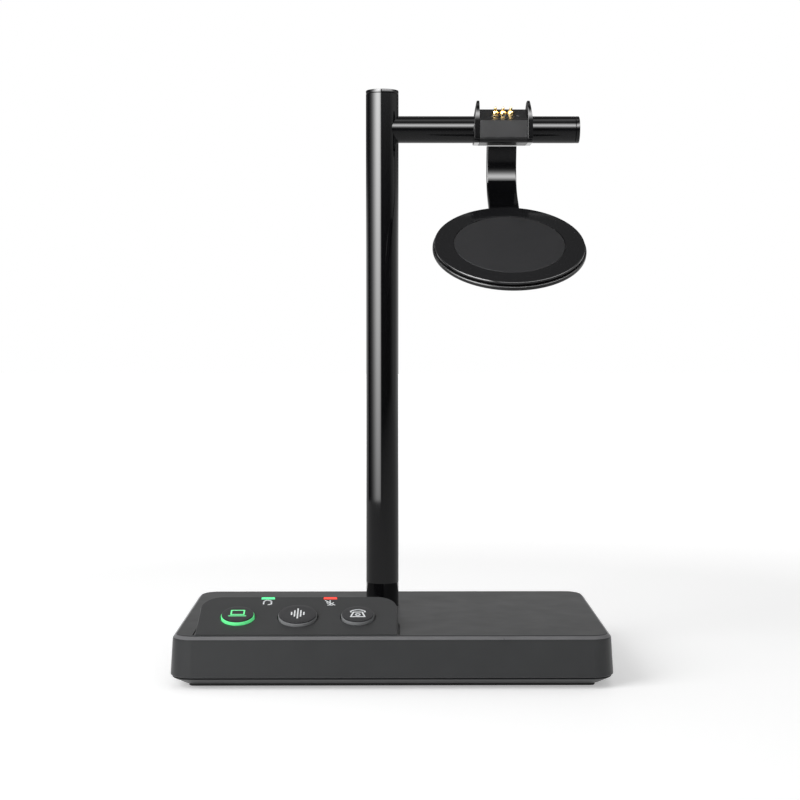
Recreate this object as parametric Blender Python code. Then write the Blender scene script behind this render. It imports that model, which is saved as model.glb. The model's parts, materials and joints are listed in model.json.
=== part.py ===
"""Charging base and stand for a wireless office headset.

A low base with a sloped three-button console carries an upright tube.  The tube's
side arm carries a charging cradle, and a curved neck hangs from the cradle and holds
the round rest that an ear cup lies on.

Frame: metres, +X to the right, +Y to the back, +Z up, origin on the desk under the
middle of the base.
"""
import math

import bmesh
import bpy
from mathutils import Matrix, Vector

MM = 0.001

# ---------------------------------------------------------------- clearances
FIT = 0.1 * MM              # between parts that are pushed or glued together
GAP = 0.3 * MM              # between parts that rest on one another
SLIDE_GAP = 0.35 * MM       # around a part that slides in a well

# ---------------------------------------------------------------- base
TOP_WIDTH = 146.5 * MM      # flat top face, along X
TOP_DEPTH = 91.0 * MM       # flat top face, along Y
TOP_CORNER = 6.0 * MM
TOP_HEIGHT = 17.9 * MM
EDGE_CHAMFER = 1.4 * MM
WALL_DRAFT = 0.8 * MM       # how far the wall leans out down to its lower edge
WALL_BOTTOM = 3.8 * MM
WALL = 2.0 * MM
ROOF = 2.2 * MM

COVER_INSET = 0.6 * MM      # shadow line under the wall
COVER_TAPER = 4.4 * MM
COVER_FLOOR = 1.8 * MM
COVER_LIP = 2.4 * MM        # how far the cover's lip reaches up inside the wall
LIP_WALL = 1.4 * MM
MAT_THICKNESS = 1.0 * MM
MAT_INSET = 1.3 * MM

BOSS_RADIUS = 3.4 * MM
BOSS_FROM_EDGE = 8.5 * MM
SCREW_SHANK = 1.3 * MM
SCREW_HEAD = 2.7 * MM
SCREW_HEAD_HEIGHT = 0.9 * MM
SCREW_REACH = 9.0 * MM

BALLAST_WIDTH = 104.0 * MM
BALLAST_DEPTH = 42.0 * MM
BALLAST_THICKNESS = 4.0 * MM
BALLAST_Y = -14.0 * MM

# ---------------------------------------------------------------- console
CONSOLE_LEFT = -67.2 * MM
CONSOLE_RIGHT = 2.3 * MM
CONSOLE_FRONT_INSET = 0.6 * MM
CONSOLE_BACK = -17.6 * MM
CONSOLE_SLOPE = math.radians(18.0)
CONSOLE_CORNER = 8.0 * MM
CONSOLE_FRONT_CORNER = 1.2 * MM
CONSOLE_DRAFT = 0.6 * MM
CONSOLE_SEAT = 1.2 * MM     # depth of the pocket that the console drops into
PANEL = 1.8 * MM
PANEL_EDGE = 0.35 * MM

BUTTON_PITCH = 20.7 * MM
BUTTON_MIDDLE_X = -32.5 * MM
BUTTON_UP_SLOPE = 13.0 * MM
BUTTON_RADIUS = 5.75 * MM
MIDDLE_BUTTON_RADIUS = 6.75 * MM
BUTTON_PROUD = 1.4 * MM
CAP_FACE = 0.5 * MM
CAP_OVERHANG = 0.25 * MM    # by how much the ring stands out past the cap's face
STEM_RADIUS = 3.0 * MM
STEM_LENGTH = 4.6 * MM      # below the panel's surface
BUTTON_TRAVEL = 0.6 * MM
STEM_TO_SWITCH = BUTTON_TRAVEL + 0.2 * MM
FLANGE_WIDTH = 0.8 * MM
FLANGE_THICKNESS = 0.8 * MM
SWITCH_SIDE = 6.0 * MM
SWITCH_HEIGHT = 1.8 * MM
BUTTON_BOARD_DEPTH = 13.0 * MM
BUTTON_BOARD_MARGIN = 6.0 * MM
BOARD = 1.6 * MM
CONSOLE_POST_RADIUS = 2.6 * MM

LED_WIDTH = 4.7 * MM
LED_LENGTH = 1.5 * MM
LED_DEPTH = 2.6 * MM
LED_X = (-43.6 * MM, -21.7 * MM)

# ---------------------------------------------------------------- electronics
MAIN_BOARD_WIDTH = 96.0 * MM
MAIN_BOARD_DEPTH = 19.0 * MM
STANDOFF_HEIGHT = 2.2 * MM
STANDOFF_RADIUS = 2.6 * MM
STANDOFF_X = 33.0 * MM
PORT_FACE_DEPTH = 0.5 * MM  # port faces sit this far inside the wall's inner side
USB_X = -24.0 * MM
USB_WIDTH = 9.0 * MM
USB_HEIGHT = 3.2 * MM
USB_LENGTH = 8.0 * MM
JACK_X = 22.0 * MM
JACK_WIDTH = 10.4 * MM
JACK_HEIGHT = 7.8 * MM
JACK_LENGTH = 13.0 * MM
JACK_MOUTH_WIDTH = 7.8 * MM
JACK_MOUTH_HEIGHT = 5.4 * MM
POWER_X = -42.0 * MM
POWER_SIDE = 7.6 * MM
POWER_LENGTH = 11.0 * MM
POWER_BORE = 3.0 * MM
POWER_PIN = 1.0 * MM
HARNESS_PLUG = (7.0 * MM, 3.6 * MM, 3.4 * MM)

# ---------------------------------------------------------------- pole and arm
POLE_X = -3.44 * MM
POLE_Y = 14.5 * MM
POLE_RADIUS = 6.0 * MM
POLE_WALL = 1.0 * MM
POLE_TOP = 208.2 * MM
POLE_FOOT = 10.4 * MM
POLE_CAP = 1.3 * MM
CAP_PLUG = 4.0 * MM
FLANGE_PLATE_RADIUS = 13.0 * MM
FLANGE_PLATE = 1.8 * MM
NUT_RADIUS = 10.0 * MM
NUT_HEIGHT = 2.4 * MM

ARM_Z = 194.0 * MM
ARM_RADIUS = 4.9 * MM
ARM_WALL = 1.0 * MM
ARM_END = 68.95 * MM
ARM_CAP = 1.5 * MM
HARNESS_RADIUS = 1.2 * MM
HARNESS_HOLE = 3.2 * MM

# ---------------------------------------------------------------- cradle
CRADLE_X = 40.7 * MM
CRADLE_WIDTH = 21.2 * MM
CHEEK = 1.85 * MM
CHEEK_TOP = 0.85 * MM
CRADLE_FRONT = 5.2 * MM
CRADLE_LIP_Z = 196.4 * MM   # front edge of the contact plate
CRADLE_BOTTOM = 188.5 * MM
CRADLE_BACK = 21.2 * MM
CHEEK_PEAK_Z = 204.0 * MM
PLATE_TILT = math.radians(30.2)
PLATE_LENGTH = 9.84 * MM
PLATE = 1.0 * MM
PLATE_RIM = 0.45 * MM
PIN_PITCH = 2.84 * MM
PIN_UP_PLATE = 6.5 * MM
PIN_RADIUS = 0.5 * MM
PIN_PROUD = 2.35 * MM
PIN_TRAVEL = 1.0 * MM
PIN_TAIL = 2.2 * MM
BARREL_RADIUS = 0.9 * MM
BARREL_PROUD = 0.95 * MM
BARREL_FOOT = 1.25 * MM
BARREL_DEPTH = PIN_TAIL + PIN_TRAVEL + 0.6 * MM
DIMPLE_PITCH = 4.5 * MM
DIMPLE_RADIUS = 1.65 * MM
DIMPLE_DEPTH = 0.25 * MM
DIMPLE_UP_PLATE = 3.1 * MM
CONTACT_BOARD = (12.0 * MM, 3.8 * MM, 0.8 * MM)

# ---------------------------------------------------------------- neck
NECK_WIDTH = 11.0 * MM
NECK_THICKNESS = 2.6 * MM
NECK_BEVEL = 0.5 * MM
NECK_TOP_Y = 16.4 * MM
NECK_TENON = (7.0 * MM, 1.6 * MM, 0.9 * MM)
NECK_END = -9.0 * MM        # along the rest's slope, past its middle

# ---------------------------------------------------------------- ear cup rest
REST_Y = -24.8 * MM
REST_Z = 150.6 * MM
REST_TILT = math.radians(32.3)
SHELL_RADIUS = 26.65 * MM
RING_RADIUS = 26.1 * MM
PAD_RADIUS = 19.25 * MM
RING_THICKNESS = 1.15 * MM
PAD_RECESS = 0.1 * MM
REST_THICKNESS = 3.1 * MM
SHADOW_GAP = 0.35 * MM
MAGNET_RADIUS = 14.0 * MM
MAGNET_THICKNESS = 0.7 * MM
REST_SCREW_SPACING = 8.0 * MM
REST_SCREW_SHANK = 0.9 * MM
REST_SCREW_HEAD = 1.8 * MM

ROUND = 32                  # sides of a large round piece
REST_ROUND = 48
SMALL_ROUND = 14


# ================================================================ helpers
def make_material(name, colour, roughness, metallic=0.0, emission=None):
    material = bpy.data.materials.new(name)
    material.use_nodes = True
    shader = material.node_tree.nodes["Principled BSDF"]
    shader.inputs["Base Color"].default_value = (*colour, 1.0)
    shader.inputs["Roughness"].default_value = roughness
    shader.inputs["Metallic"].default_value = metallic
    if emission:
        shader.inputs["Emission Color"].default_value = (*emission, 1.0)
        shader.inputs["Emission Strength"].default_value = 1.0
    return material


def make_object(name, mesh, material, location=(0, 0, 0), parent=None):
    """A named object; flat faces stay flat and round ones are shaded smooth."""
    mesh.materials.append(material)
    mesh.shade_smooth()
    mesh.set_sharp_from_angle(angle=math.radians(30))
    piece = bpy.data.objects.new(name, mesh)
    piece.location = location
    piece.parent = parent
    bpy.context.scene.collection.objects.link(piece)
    return piece


def make_empty(name, location, tilt=0.0, parent=None):
    """A guide frame, turned about X so that its Y axis climbs a slope."""
    guide = bpy.data.objects.new(name, None)
    guide.location = location
    guide.rotation_euler = (tilt, 0.0, 0.0)
    guide.parent = parent
    bpy.context.scene.collection.objects.link(guide)
    return guide


def rounded_outline(left, right, front, back, corner, front_corner=None, steps=4):
    """A rectangle with round corners, anticlockwise from its front right corner."""
    front_corner = corner if front_corner is None else front_corner
    corners = (
        (right - front_corner, front + front_corner, front_corner, -90),
        (right - corner, back - corner, corner, 0),
        (left + corner, back - corner, corner, 90),
        (left + front_corner, front + front_corner, front_corner, 180),
    )
    outline = []
    for x, y, radius, start in corners:
        for step in range(steps + 1):
            angle = math.radians(start + 90 * step / steps)
            outline.append((x + radius * math.cos(angle), y + radius * math.sin(angle)))
    return outline


def centred_outline(width, depth, corner, steps=4):
    return rounded_outline(-width / 2, width / 2, -depth / 2, depth / 2, corner, steps=steps)


def level(outline, z):
    return [Vector((x, y, z)) for x, y in outline]


def circle(radius, z, steps):
    return [Vector((radius * math.cos(math.tau * i / steps),
                    radius * math.sin(math.tau * i / steps), z)) for i in range(steps)]


def mesh_from_rings(name, rings, closed=False):
    """A closed skin through rings of equally many points, capped unless it is a loop."""
    shape = bmesh.new()
    rows = [[shape.verts.new(point) for point in ring] for ring in rings]
    pairs = list(zip(rows, rows[1:]))
    if closed:
        pairs.append((rows[-1], rows[0]))
    else:
        shape.faces.new(rows[0])
        shape.faces.new(rows[-1])
    for lower, upper in pairs:
        for i in range(len(lower)):
            j = (i + 1) % len(lower)
            shape.faces.new((lower[i], lower[j], upper[j], upper[i]))
    bmesh.ops.recalc_face_normals(shape, faces=shape.faces)
    mesh = bpy.data.meshes.new(name)
    shape.to_mesh(mesh)
    shape.free()
    return mesh


def turned_mesh(name, profile, steps=ROUND, closed=False):
    """A turned piece: profile holds (radius, height) points."""
    return mesh_from_rings(name, [circle(r, z, steps) for r, z in profile], closed)


def along_x(mesh):
    """Turn a piece made along Z so that it lies along X."""
    mesh.transform(Matrix.Rotation(math.radians(90), 4, "Y"))
    return mesh


def along_y(mesh):
    """Turn a piece made along Z so that it lies along Y."""
    mesh.transform(Matrix.Rotation(math.radians(-90), 4, "X"))
    return mesh


def plain_box(name, left, right, front, back, low, high):
    corners = ((left, front), (right, front), (right, back), (left, back))
    return mesh_from_rings(name, [level(corners, low), level(corners, high)])


def side_prism(name, outline, left, right):
    """A slab across X whose outline is drawn in (Y, Z)."""
    return mesh_from_rings(name, [[Vector((left, y, z)) for y, z in outline],
                                  [Vector((right, y, z)) for y, z in outline]])


def combine(piece, mesh, operation, parent=None, location=(0, 0, 0)):
    """Cut a hidden shape out of a piece, or join it on."""
    tool = bpy.data.objects.new(piece.name + "_" + operation.lower(), mesh)
    tool.location = location
    tool.parent = parent
    tool.hide_render = True
    tool.display_type = "WIRE"
    bpy.context.scene.collection.objects.link(tool)
    modifier = piece.modifiers.new(tool.name, "BOOLEAN")
    modifier.operation = operation
    modifier.object = tool


def cut(piece, mesh, parent=None, location=(0, 0, 0)):
    combine(piece, mesh, "DIFFERENCE", parent, location)


def join(piece, mesh, parent=None, location=(0, 0, 0)):
    combine(piece, mesh, "UNION", parent, location)


def peg_mesh(radius, low, high, steps=SMALL_ROUND):
    return turned_mesh("peg", [(radius, low), (radius, high)], steps)


def arc_points(centre, radius, start, end, steps):
    """Points of an arc in (Y, Z), angles in degrees from +Y."""
    points = []
    for step in range(steps + 1):
        angle = math.radians(start + (end - start) * step / steps)
        points.append((centre[0] + radius * math.cos(angle),
                       centre[1] + radius * math.sin(angle)))
    return points


def bezier_points(start, start_pull, end_pull, end, steps):
    """Points of a cubic curve in (Y, Z), without its last point."""
    points = []
    for step in range(steps):
        t = step / steps
        blend = ((1 - t) ** 3, 3 * (1 - t) ** 2 * t, 3 * (1 - t) * t ** 2, t ** 3)
        ends = (start, start_pull, end_pull, end)
        points.append(tuple(sum(w * p[axis] for w, p in zip(blend, ends)) for axis in (0, 1)))
    return points


# ================================================================ base
ROOF_UNDERSIDE = TOP_HEIGHT - ROOF
WALL_SPREAD = EDGE_CHAMFER + WALL_DRAFT
INNER_BACK = TOP_DEPTH / 2 + EDGE_CHAMFER - WALL
SCREW_X = TOP_WIDTH / 2 - BOSS_FROM_EDGE
SCREW_Y = TOP_DEPTH / 2 - BOSS_FROM_EDGE
COVER_TOP = WALL_BOTTOM - GAP
COVER_BOTTOM = MAT_THICKNESS + FIT
FLOOR_TOP = COVER_BOTTOM + COVER_FLOOR
MAIN_BOARD_LOW = FLOOR_TOP + STANDOFF_HEIGHT + FIT
MAIN_BOARD_TOP = MAIN_BOARD_LOW + BOARD
PORT_BOTTOM = MAIN_BOARD_TOP + FIT
MAIN_BOARD_BACK = INNER_BACK - LIP_WALL - 2 * GAP
CONSOLE_FRONT = -TOP_DEPTH / 2 + CONSOLE_FRONT_INSET
SEAT_Z = TOP_HEIGHT - CONSOLE_SEAT


def base_outline(grow):
    """The base's outline, grown or shrunk evenly from its flat top face."""
    return centred_outline(TOP_WIDTH + 2 * grow, TOP_DEPTH + 2 * grow, TOP_CORNER + grow)


def console_outline(grow):
    return rounded_outline(CONSOLE_LEFT - grow, CONSOLE_RIGHT + grow, CONSOLE_FRONT - grow,
                           CONSOLE_BACK + grow, CONSOLE_CORNER + grow,
                           CONSOLE_FRONT_CORNER + grow)


def panel_height(y):
    return TOP_HEIGHT + (y - CONSOLE_FRONT) * math.tan(CONSOLE_SLOPE)


def screw_places():
    return [("rear_right", SCREW_X, SCREW_Y), ("rear_left", -SCREW_X, SCREW_Y),
            ("front_left", -SCREW_X, -SCREW_Y), ("front_right", SCREW_X, -SCREW_Y)]


def button_places():
    """Name, position across, and radius of each button."""
    return [("laptop", BUTTON_MIDDLE_X - BUTTON_PITCH, BUTTON_RADIUS),
            ("headset", BUTTON_MIDDLE_X, MIDDLE_BUTTON_RADIUS),
            ("desk_phone", BUTTON_MIDDLE_X + BUTTON_PITCH, BUTTON_RADIUS)]


def screw_mesh(name, shank, head, head_height, reach):
    """A pan head screw, driven upwards, its head's underside at z = 0."""
    return turned_mesh(name, [(head * 0.8, -head_height), (head, -head_height * 0.6),
                              (head, 0.0), (shank, 0.0), (shank, reach - shank),
                              (shank * 0.3, reach)], SMALL_ROUND)


def build_top_housing(plastic):
    inner = EDGE_CHAMFER - WALL
    rings = [
        level(base_outline(inner), ROOF_UNDERSIDE),
        level(base_outline(WALL_SPREAD - WALL), WALL_BOTTOM),
        level(base_outline(WALL_SPREAD), WALL_BOTTOM),
        level(base_outline(EDGE_CHAMFER), TOP_HEIGHT - EDGE_CHAMFER),
        level(base_outline(0.0), TOP_HEIGHT),
    ]
    housing = make_object("base_top_housing", mesh_from_rings("base_top_housing", rings), plastic)
    boss_low = FLOOR_TOP + GAP
    for _, x, y in screw_places():
        join(housing, peg_mesh(BOSS_RADIUS, boss_low, ROOF_UNDERSIDE + GAP), location=(x, y, 0))
        pilot_top = COVER_BOTTOM + SCREW_HEAD_HEIGHT + SCREW_REACH + GAP
        cut(housing, peg_mesh(SCREW_SHANK + GAP, 0.0, pilot_top), location=(x, y, 0))
    cut(housing, peg_mesh(POLE_RADIUS + FIT, ROOF_UNDERSIDE - ROOF, TOP_HEIGHT + ROOF, ROUND),
        location=(POLE_X, POLE_Y, 0))
    pocket = [level(console_outline(GAP), SEAT_Z), level(console_outline(GAP), TOP_HEIGHT + ROOF)]
    cut(housing, mesh_from_rings("console_pocket", pocket))
    window = rounded_outline(CONSOLE_LEFT + 3 * WALL, CONSOLE_RIGHT - 3 * WALL,
                             CONSOLE_FRONT + 2 * WALL, CONSOLE_BACK - WALL, WALL)
    cut(housing, mesh_from_rings("console_window", [level(window, ROOF_UNDERSIDE - ROOF),
                                                    level(window, TOP_HEIGHT)]))
    wall_outside = TOP_DEPTH / 2 + WALL_SPREAD + WALL
    wall_inside = INNER_BACK - WALL
    for x, width, low, high in (
            (USB_X, USB_WIDTH, PORT_BOTTOM, PORT_BOTTOM + USB_HEIGHT),
            (JACK_X, JACK_WIDTH, PORT_BOTTOM, PORT_BOTTOM + JACK_HEIGHT),
            (POWER_X, POWER_SIDE, PORT_BOTTOM, PORT_BOTTOM + POWER_SIDE)):
        cut(housing, plain_box("port_cut", x - width / 2 - GAP, x + width / 2 + GAP,
                               wall_inside, wall_outside, low - GAP, high + GAP))
    return housing


def build_bottom_cover(plastic):
    """The tray that closes the base, with a lip inside the wall."""
    lip_out = WALL_SPREAD - WALL - 2 * GAP
    lip_in = lip_out - LIP_WALL
    edge = WALL_SPREAD - COVER_INSET
    rings = [
        level(base_outline(lip_in), FLOOR_TOP),
        level(base_outline(lip_in), COVER_TOP + COVER_LIP),
        level(base_outline(lip_out), COVER_TOP + COVER_LIP),
        level(base_outline(lip_out), COVER_TOP),
        level(base_outline(edge), COVER_TOP),
        level(base_outline(edge), COVER_TOP - GAP),
        level(base_outline(edge - COVER_TAPER), COVER_BOTTOM),
    ]
    cover = make_object("bottom_cover", mesh_from_rings("bottom_cover", rings), plastic)
    for _, x, y in screw_places():
        cut(cover, peg_mesh(SCREW_SHANK + GAP, 0.0, FLOOR_TOP + WALL), location=(x, y, 0))
        cut(cover, peg_mesh(SCREW_HEAD + GAP, 0.0, COVER_BOTTOM + SCREW_HEAD_HEIGHT),
            location=(x, y, 0))
    for x in (-STANDOFF_X, STANDOFF_X):
        place = (x, main_board_middle(), 0)
        join(cover, peg_mesh(STANDOFF_RADIUS, FLOOR_TOP - GAP, MAIN_BOARD_LOW - FIT),
             location=place)
        cut(cover, peg_mesh(REST_SCREW_SHANK + FIT, FLOOR_TOP, MAIN_BOARD_LOW + WALL),
            location=place)
    return cover


def main_board_middle():
    return MAIN_BOARD_BACK - MAIN_BOARD_DEPTH / 2


def build_base_mat(rubber):
    inset = WALL_SPREAD - COVER_INSET - COVER_TAPER - MAT_INSET
    rings = [level(base_outline(inset), 0.0), level(base_outline(inset), MAT_THICKNESS)]
    make_object("rubber_base_mat", mesh_from_rings("rubber_base_mat", rings), rubber)


def build_ballast(steel):
    """A steel slab on the cover's floor that keeps the loaded stand from tipping."""
    low = FLOOR_TOP + FIT
    make_object("ballast_plate",
                mesh_from_rings("ballast_plate",
                                [level(centred_outline(BALLAST_WIDTH, BALLAST_DEPTH, WALL), low),
                                 level(centred_outline(BALLAST_WIDTH, BALLAST_DEPTH, WALL),
                                       low + BALLAST_THICKNESS)]),
                steel, location=(0, BALLAST_Y, 0))


def build_cover_screws(steel):
    for name, x, y in screw_places():
        mesh = screw_mesh("cover_screw", SCREW_SHANK, SCREW_HEAD, SCREW_HEAD_HEIGHT - FIT,
                          SCREW_REACH)
        make_object("cover_screw_" + name, mesh, steel,
                    location=(x, y, COVER_BOTTOM + SCREW_HEAD_HEIGHT - FIT))


def build_main_board(board_green, steel):
    middle = main_board_middle()
    mesh = plain_box("main_board", -MAIN_BOARD_WIDTH / 2, MAIN_BOARD_WIDTH / 2,
                     MAIN_BOARD_BACK - MAIN_BOARD_DEPTH, MAIN_BOARD_BACK,
                     MAIN_BOARD_LOW, MAIN_BOARD_TOP)
    board = make_object("main_board", mesh, board_green)
    for name, x in (("left", -STANDOFF_X), ("right", STANDOFF_X)):
        cut(board, peg_mesh(REST_SCREW_SHANK + FIT, 0.0, TOP_HEIGHT), location=(x, middle, 0))
        mesh = screw_mesh("board_screw", REST_SCREW_SHANK, REST_SCREW_HEAD, SCREW_HEAD_HEIGHT,
                          BOARD + STANDOFF_HEIGHT - GAP)
        mesh.transform(Matrix.Rotation(math.pi, 4, "X"))
        make_object("board_screw_" + name, mesh, steel,
                    location=(x, middle, MAIN_BOARD_TOP + FIT))


# ================================================================ ports at the back
def port_face():
    return INNER_BACK + PORT_FACE_DEPTH


def build_usb_port(metal):
    """A USB-C socket: a flat metal sleeve with round sides and the tongue inside."""
    back = port_face()
    half = USB_HEIGHT / 2
    outer = centred_outline(USB_WIDTH, USB_HEIGHT, half - FIT)
    inner = centred_outline(USB_WIDTH - 4 * FIT, USB_HEIGHT - 4 * FIT, half - 3 * FIT)
    tongue = centred_outline(USB_WIDTH - 2.3 * MM, 0.7 * MM, 0.3 * MM)
    rings = [level(outline, z) for outline, z in (
        (outer, 0.0), (outer, USB_LENGTH), (inner, USB_LENGTH),
        (inner, GAP), (tongue, GAP), (tongue, USB_LENGTH - GAP))]
    mesh = mesh_from_rings("usb_port", rings)
    mesh.transform(Matrix.Rotation(math.radians(-90), 4, "X"))
    make_object("usb_port", mesh, metal,
                location=(USB_X, back - USB_LENGTH, PORT_BOTTOM + half))


def build_phone_jack(plastic):
    """The modular socket for the desk phone, open to the back."""
    back = port_face()
    mesh = plain_box("phone_jack", -JACK_WIDTH / 2, JACK_WIDTH / 2, -JACK_LENGTH, 0.0,
                     0.0, JACK_HEIGHT)
    jack = make_object("phone_jack", mesh, plastic, location=(JACK_X, back, PORT_BOTTOM))
    mouth_low = (JACK_HEIGHT - JACK_MOUTH_HEIGHT) / 2
    cut(jack, plain_box("jack_mouth", -JACK_MOUTH_WIDTH / 2, JACK_MOUTH_WIDTH / 2,
                        WALL - JACK_LENGTH, WALL, mouth_low, mouth_low + JACK_MOUTH_HEIGHT),
        location=(JACK_X, back, PORT_BOTTOM))


def build_power_jack(plastic):
    """A barrel socket for the power supply, its pin standing in the bore."""
    back = port_face()
    half = POWER_SIDE / 2
    place = (POWER_X, back, PORT_BOTTOM + half)
    mesh = plain_box("power_jack", -half, half, -POWER_LENGTH, 0.0, -half, half)
    jack = make_object("power_jack", mesh, plastic, place)
    cut(jack, along_y(peg_mesh(POWER_BORE, WALL - POWER_LENGTH, WALL)), location=place)
    join(jack, along_y(peg_mesh(POWER_PIN, WALL / 2 - POWER_LENGTH, -WALL)), location=place)


# ================================================================ console
def build_console(plastic, panel_frame):
    """The wedge that carries the buttons: a hollow shell under a sloped panel."""
    outer = console_outline(0.0)
    top = console_outline(-CONSOLE_DRAFT)
    edge = console_outline(-CONSOLE_DRAFT - PANEL_EDGE)

    def on_panel(outline, sink):
        return [Vector((x, y, panel_height(y) - sink)) for x, y in outline]

    top[:] = [(x, max(y, CONSOLE_FRONT)) for x, y in top]
    rings = [level(outer, SEAT_Z + FIT), level(outer, TOP_HEIGHT - FIT),
             on_panel(top, PANEL_EDGE), on_panel(edge, 0.0)]
    console = make_object("control_console", mesh_from_rings("control_console", rings), plastic)
    front = CONSOLE_FRONT + 2.5 * WALL
    hollow = rounded_outline(CONSOLE_LEFT + WALL, CONSOLE_RIGHT - WALL, front,
                             CONSOLE_BACK - WALL, CONSOLE_CORNER - WALL, WALL)
    sink = PANEL / math.cos(CONSOLE_SLOPE)
    cut(console, mesh_from_rings("console_hollow", [level(hollow, SEAT_Z - WALL),
                                                    on_panel(hollow, sink)]))
    for _, x, radius in button_places():
        cut(console, peg_mesh(radius + SLIDE_GAP, -PANEL - WALL, BUTTON_PROUD, ROUND),
            panel_frame, (x, BUTTON_UP_SLOPE, 0))
    for x in post_places():
        join(console, peg_mesh(CONSOLE_POST_RADIUS, button_board_top() + FIT, -PANEL / 2),
             panel_frame, (x, BUTTON_UP_SLOPE, 0))
        cut(console, peg_mesh(REST_SCREW_SHANK + FIT, button_board_top() - WALL,
                              -PANEL - WALL / 2), panel_frame, (x, BUTTON_UP_SLOPE, 0))
    return console


def post_places():
    """The two posts stand between the buttons."""
    half = (BUTTON_PITCH + MIDDLE_BUTTON_RADIUS - BUTTON_RADIUS) / 2
    return (BUTTON_MIDDLE_X - half, BUTTON_MIDDLE_X + half)


def button_board_top():
    return -STEM_LENGTH - STEM_TO_SWITCH - SWITCH_HEIGHT - FIT


def build_led_windows(console, panel_frame, green, red):
    """Two light guides let into the panel's back edge."""
    slope_length = (CONSOLE_BACK - CONSOLE_DRAFT - CONSOLE_FRONT) / math.cos(CONSOLE_SLOPE)
    middle = slope_length - PANEL_EDGE - LED_LENGTH / 2 - FIT
    for name, x, material in (("link", LED_X[0], green), ("mute", LED_X[1], red)):
        half_width, half_length = LED_WIDTH / 2, LED_LENGTH / 2
        cut(console, plain_box("led_cut", -half_width - FIT, half_width + FIT,
                               -half_length - FIT, half_length + FIT, -LED_DEPTH, WALL),
            panel_frame, (x, middle, 0))
        mesh = plain_box("led_window", -half_width, half_width, -half_length, half_length,
                         -LED_DEPTH + FIT, 0.0)
        make_object(name + "_led_window", mesh, material, (x, middle, 0), panel_frame)


def build_button(name, x, radius, cap_plastic, ring_plastic, switch_plastic, panel_frame):
    """A dark cap on a translucent ring, sliding in its well above a tact switch."""
    slide = make_empty(name + "_slide", (x, BUTTON_UP_SLOPE, 0), parent=panel_frame)
    face = BUTTON_PROUD - CAP_FACE
    cap_radius = radius - CAP_OVERHANG
    cap = turned_mesh("button_cap", [
        (STEM_RADIUS, -STEM_LENGTH), (STEM_RADIUS, face),
        (cap_radius, face), (cap_radius, BUTTON_PROUD - CAP_FACE / 2),
        (cap_radius - CAP_FACE / 2, BUTTON_PROUD)])
    make_object(name + "_button_cap", cap, cap_plastic, parent=slide)
    bore = STEM_RADIUS + FIT
    flange_top = -PANEL - GAP
    flange_low = flange_top - FLANGE_THICKNESS
    ring = turned_mesh("button_ring", [
        (bore, flange_low), (radius + FLANGE_WIDTH, flange_low),
        (radius + FLANGE_WIDTH, flange_top), (radius, flange_top),
        (radius, face - FIT), (bore, face - FIT)], closed=True)
    make_object(name + "_button_ring", ring, ring_plastic, parent=slide)
    low = -STEM_LENGTH - STEM_TO_SWITCH - SWITCH_HEIGHT
    half = SWITCH_SIDE / 2
    switch = plain_box("tact_switch", -half, half, -half, half, low, low + SWITCH_HEIGHT * 0.7)
    piece = make_object(name + "_switch", switch, switch_plastic,
                        (x, BUTTON_UP_SLOPE, 0), panel_frame)
    join(piece, peg_mesh(half * 0.55, low + SWITCH_HEIGHT / 2, low + SWITCH_HEIGHT),
         panel_frame, (x, BUTTON_UP_SLOPE, 0))


def build_button_board(board_green, steel, panel_frame):
    left = button_places()[0][1] - BUTTON_BOARD_MARGIN
    right = button_places()[2][1] + BUTTON_BOARD_MARGIN
    half = BUTTON_BOARD_DEPTH / 2
    top = button_board_top()
    mesh = plain_box("button_board", left, right, -half, half, top - BOARD, top)
    board = make_object("button_board", mesh, board_green, (0, BUTTON_UP_SLOPE, 0), panel_frame)
    for name, x in zip(("left", "right"), post_places()):
        place = (x, BUTTON_UP_SLOPE, 0)
        cut(board, peg_mesh(REST_SCREW_SHANK + FIT, top - 2 * BOARD, top + BOARD),
            panel_frame, place)
        mesh = screw_mesh("console_screw", REST_SCREW_SHANK, REST_SCREW_HEAD,
                          SCREW_HEAD_HEIGHT, BOARD + 3 * WALL / 2)
        make_object("console_screw_" + name, mesh, steel,
                    (x, BUTTON_UP_SLOPE, top - BOARD - FIT), panel_frame)


# ================================================================ pole and arm
def build_pole(gloss_black, steel):
    inner = POLE_RADIUS - POLE_WALL
    top = POLE_TOP - POLE_CAP
    foot = (POLE_X, POLE_Y, 0)
    mesh = turned_mesh("pole_tube", [(inner, POLE_FOOT), (POLE_RADIUS, POLE_FOOT),
                                     (POLE_RADIUS, top), (inner, top)], closed=True)
    pole = make_object("pole_tube", mesh, gloss_black, foot)
    cut(pole, along_x(peg_mesh(HARNESS_HOLE, 0.0, 2 * POLE_RADIUS)),
        location=(POLE_X, POLE_Y, ARM_Z))
    plug = inner - FIT
    edge = 0.3 * MM
    cap = turned_mesh("pole_top_cap", [
        (plug, top - CAP_PLUG), (plug, top + FIT), (POLE_RADIUS, top + FIT),
        (POLE_RADIUS, POLE_TOP - edge), (POLE_RADIUS - edge, POLE_TOP)])
    make_object("pole_top_cap", cap, gloss_black, foot)

    plate_top = ROOF_UNDERSIDE - FIT
    bore = POLE_RADIUS + FIT
    plate = turned_mesh("pole_flange", [
        (bore, plate_top - FLANGE_PLATE), (FLANGE_PLATE_RADIUS, plate_top - FLANGE_PLATE),
        (FLANGE_PLATE_RADIUS, plate_top), (bore, plate_top)], closed=True)
    make_object("pole_flange", plate, steel, foot)
    nut_top = plate_top - FLANGE_PLATE - FIT
    nut = make_object("pole_nut", peg_mesh(NUT_RADIUS, nut_top - NUT_HEIGHT, nut_top, 6),
                      steel, foot)
    cut(nut, peg_mesh(bore, 0.0, TOP_HEIGHT, ROUND), location=foot)


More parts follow.
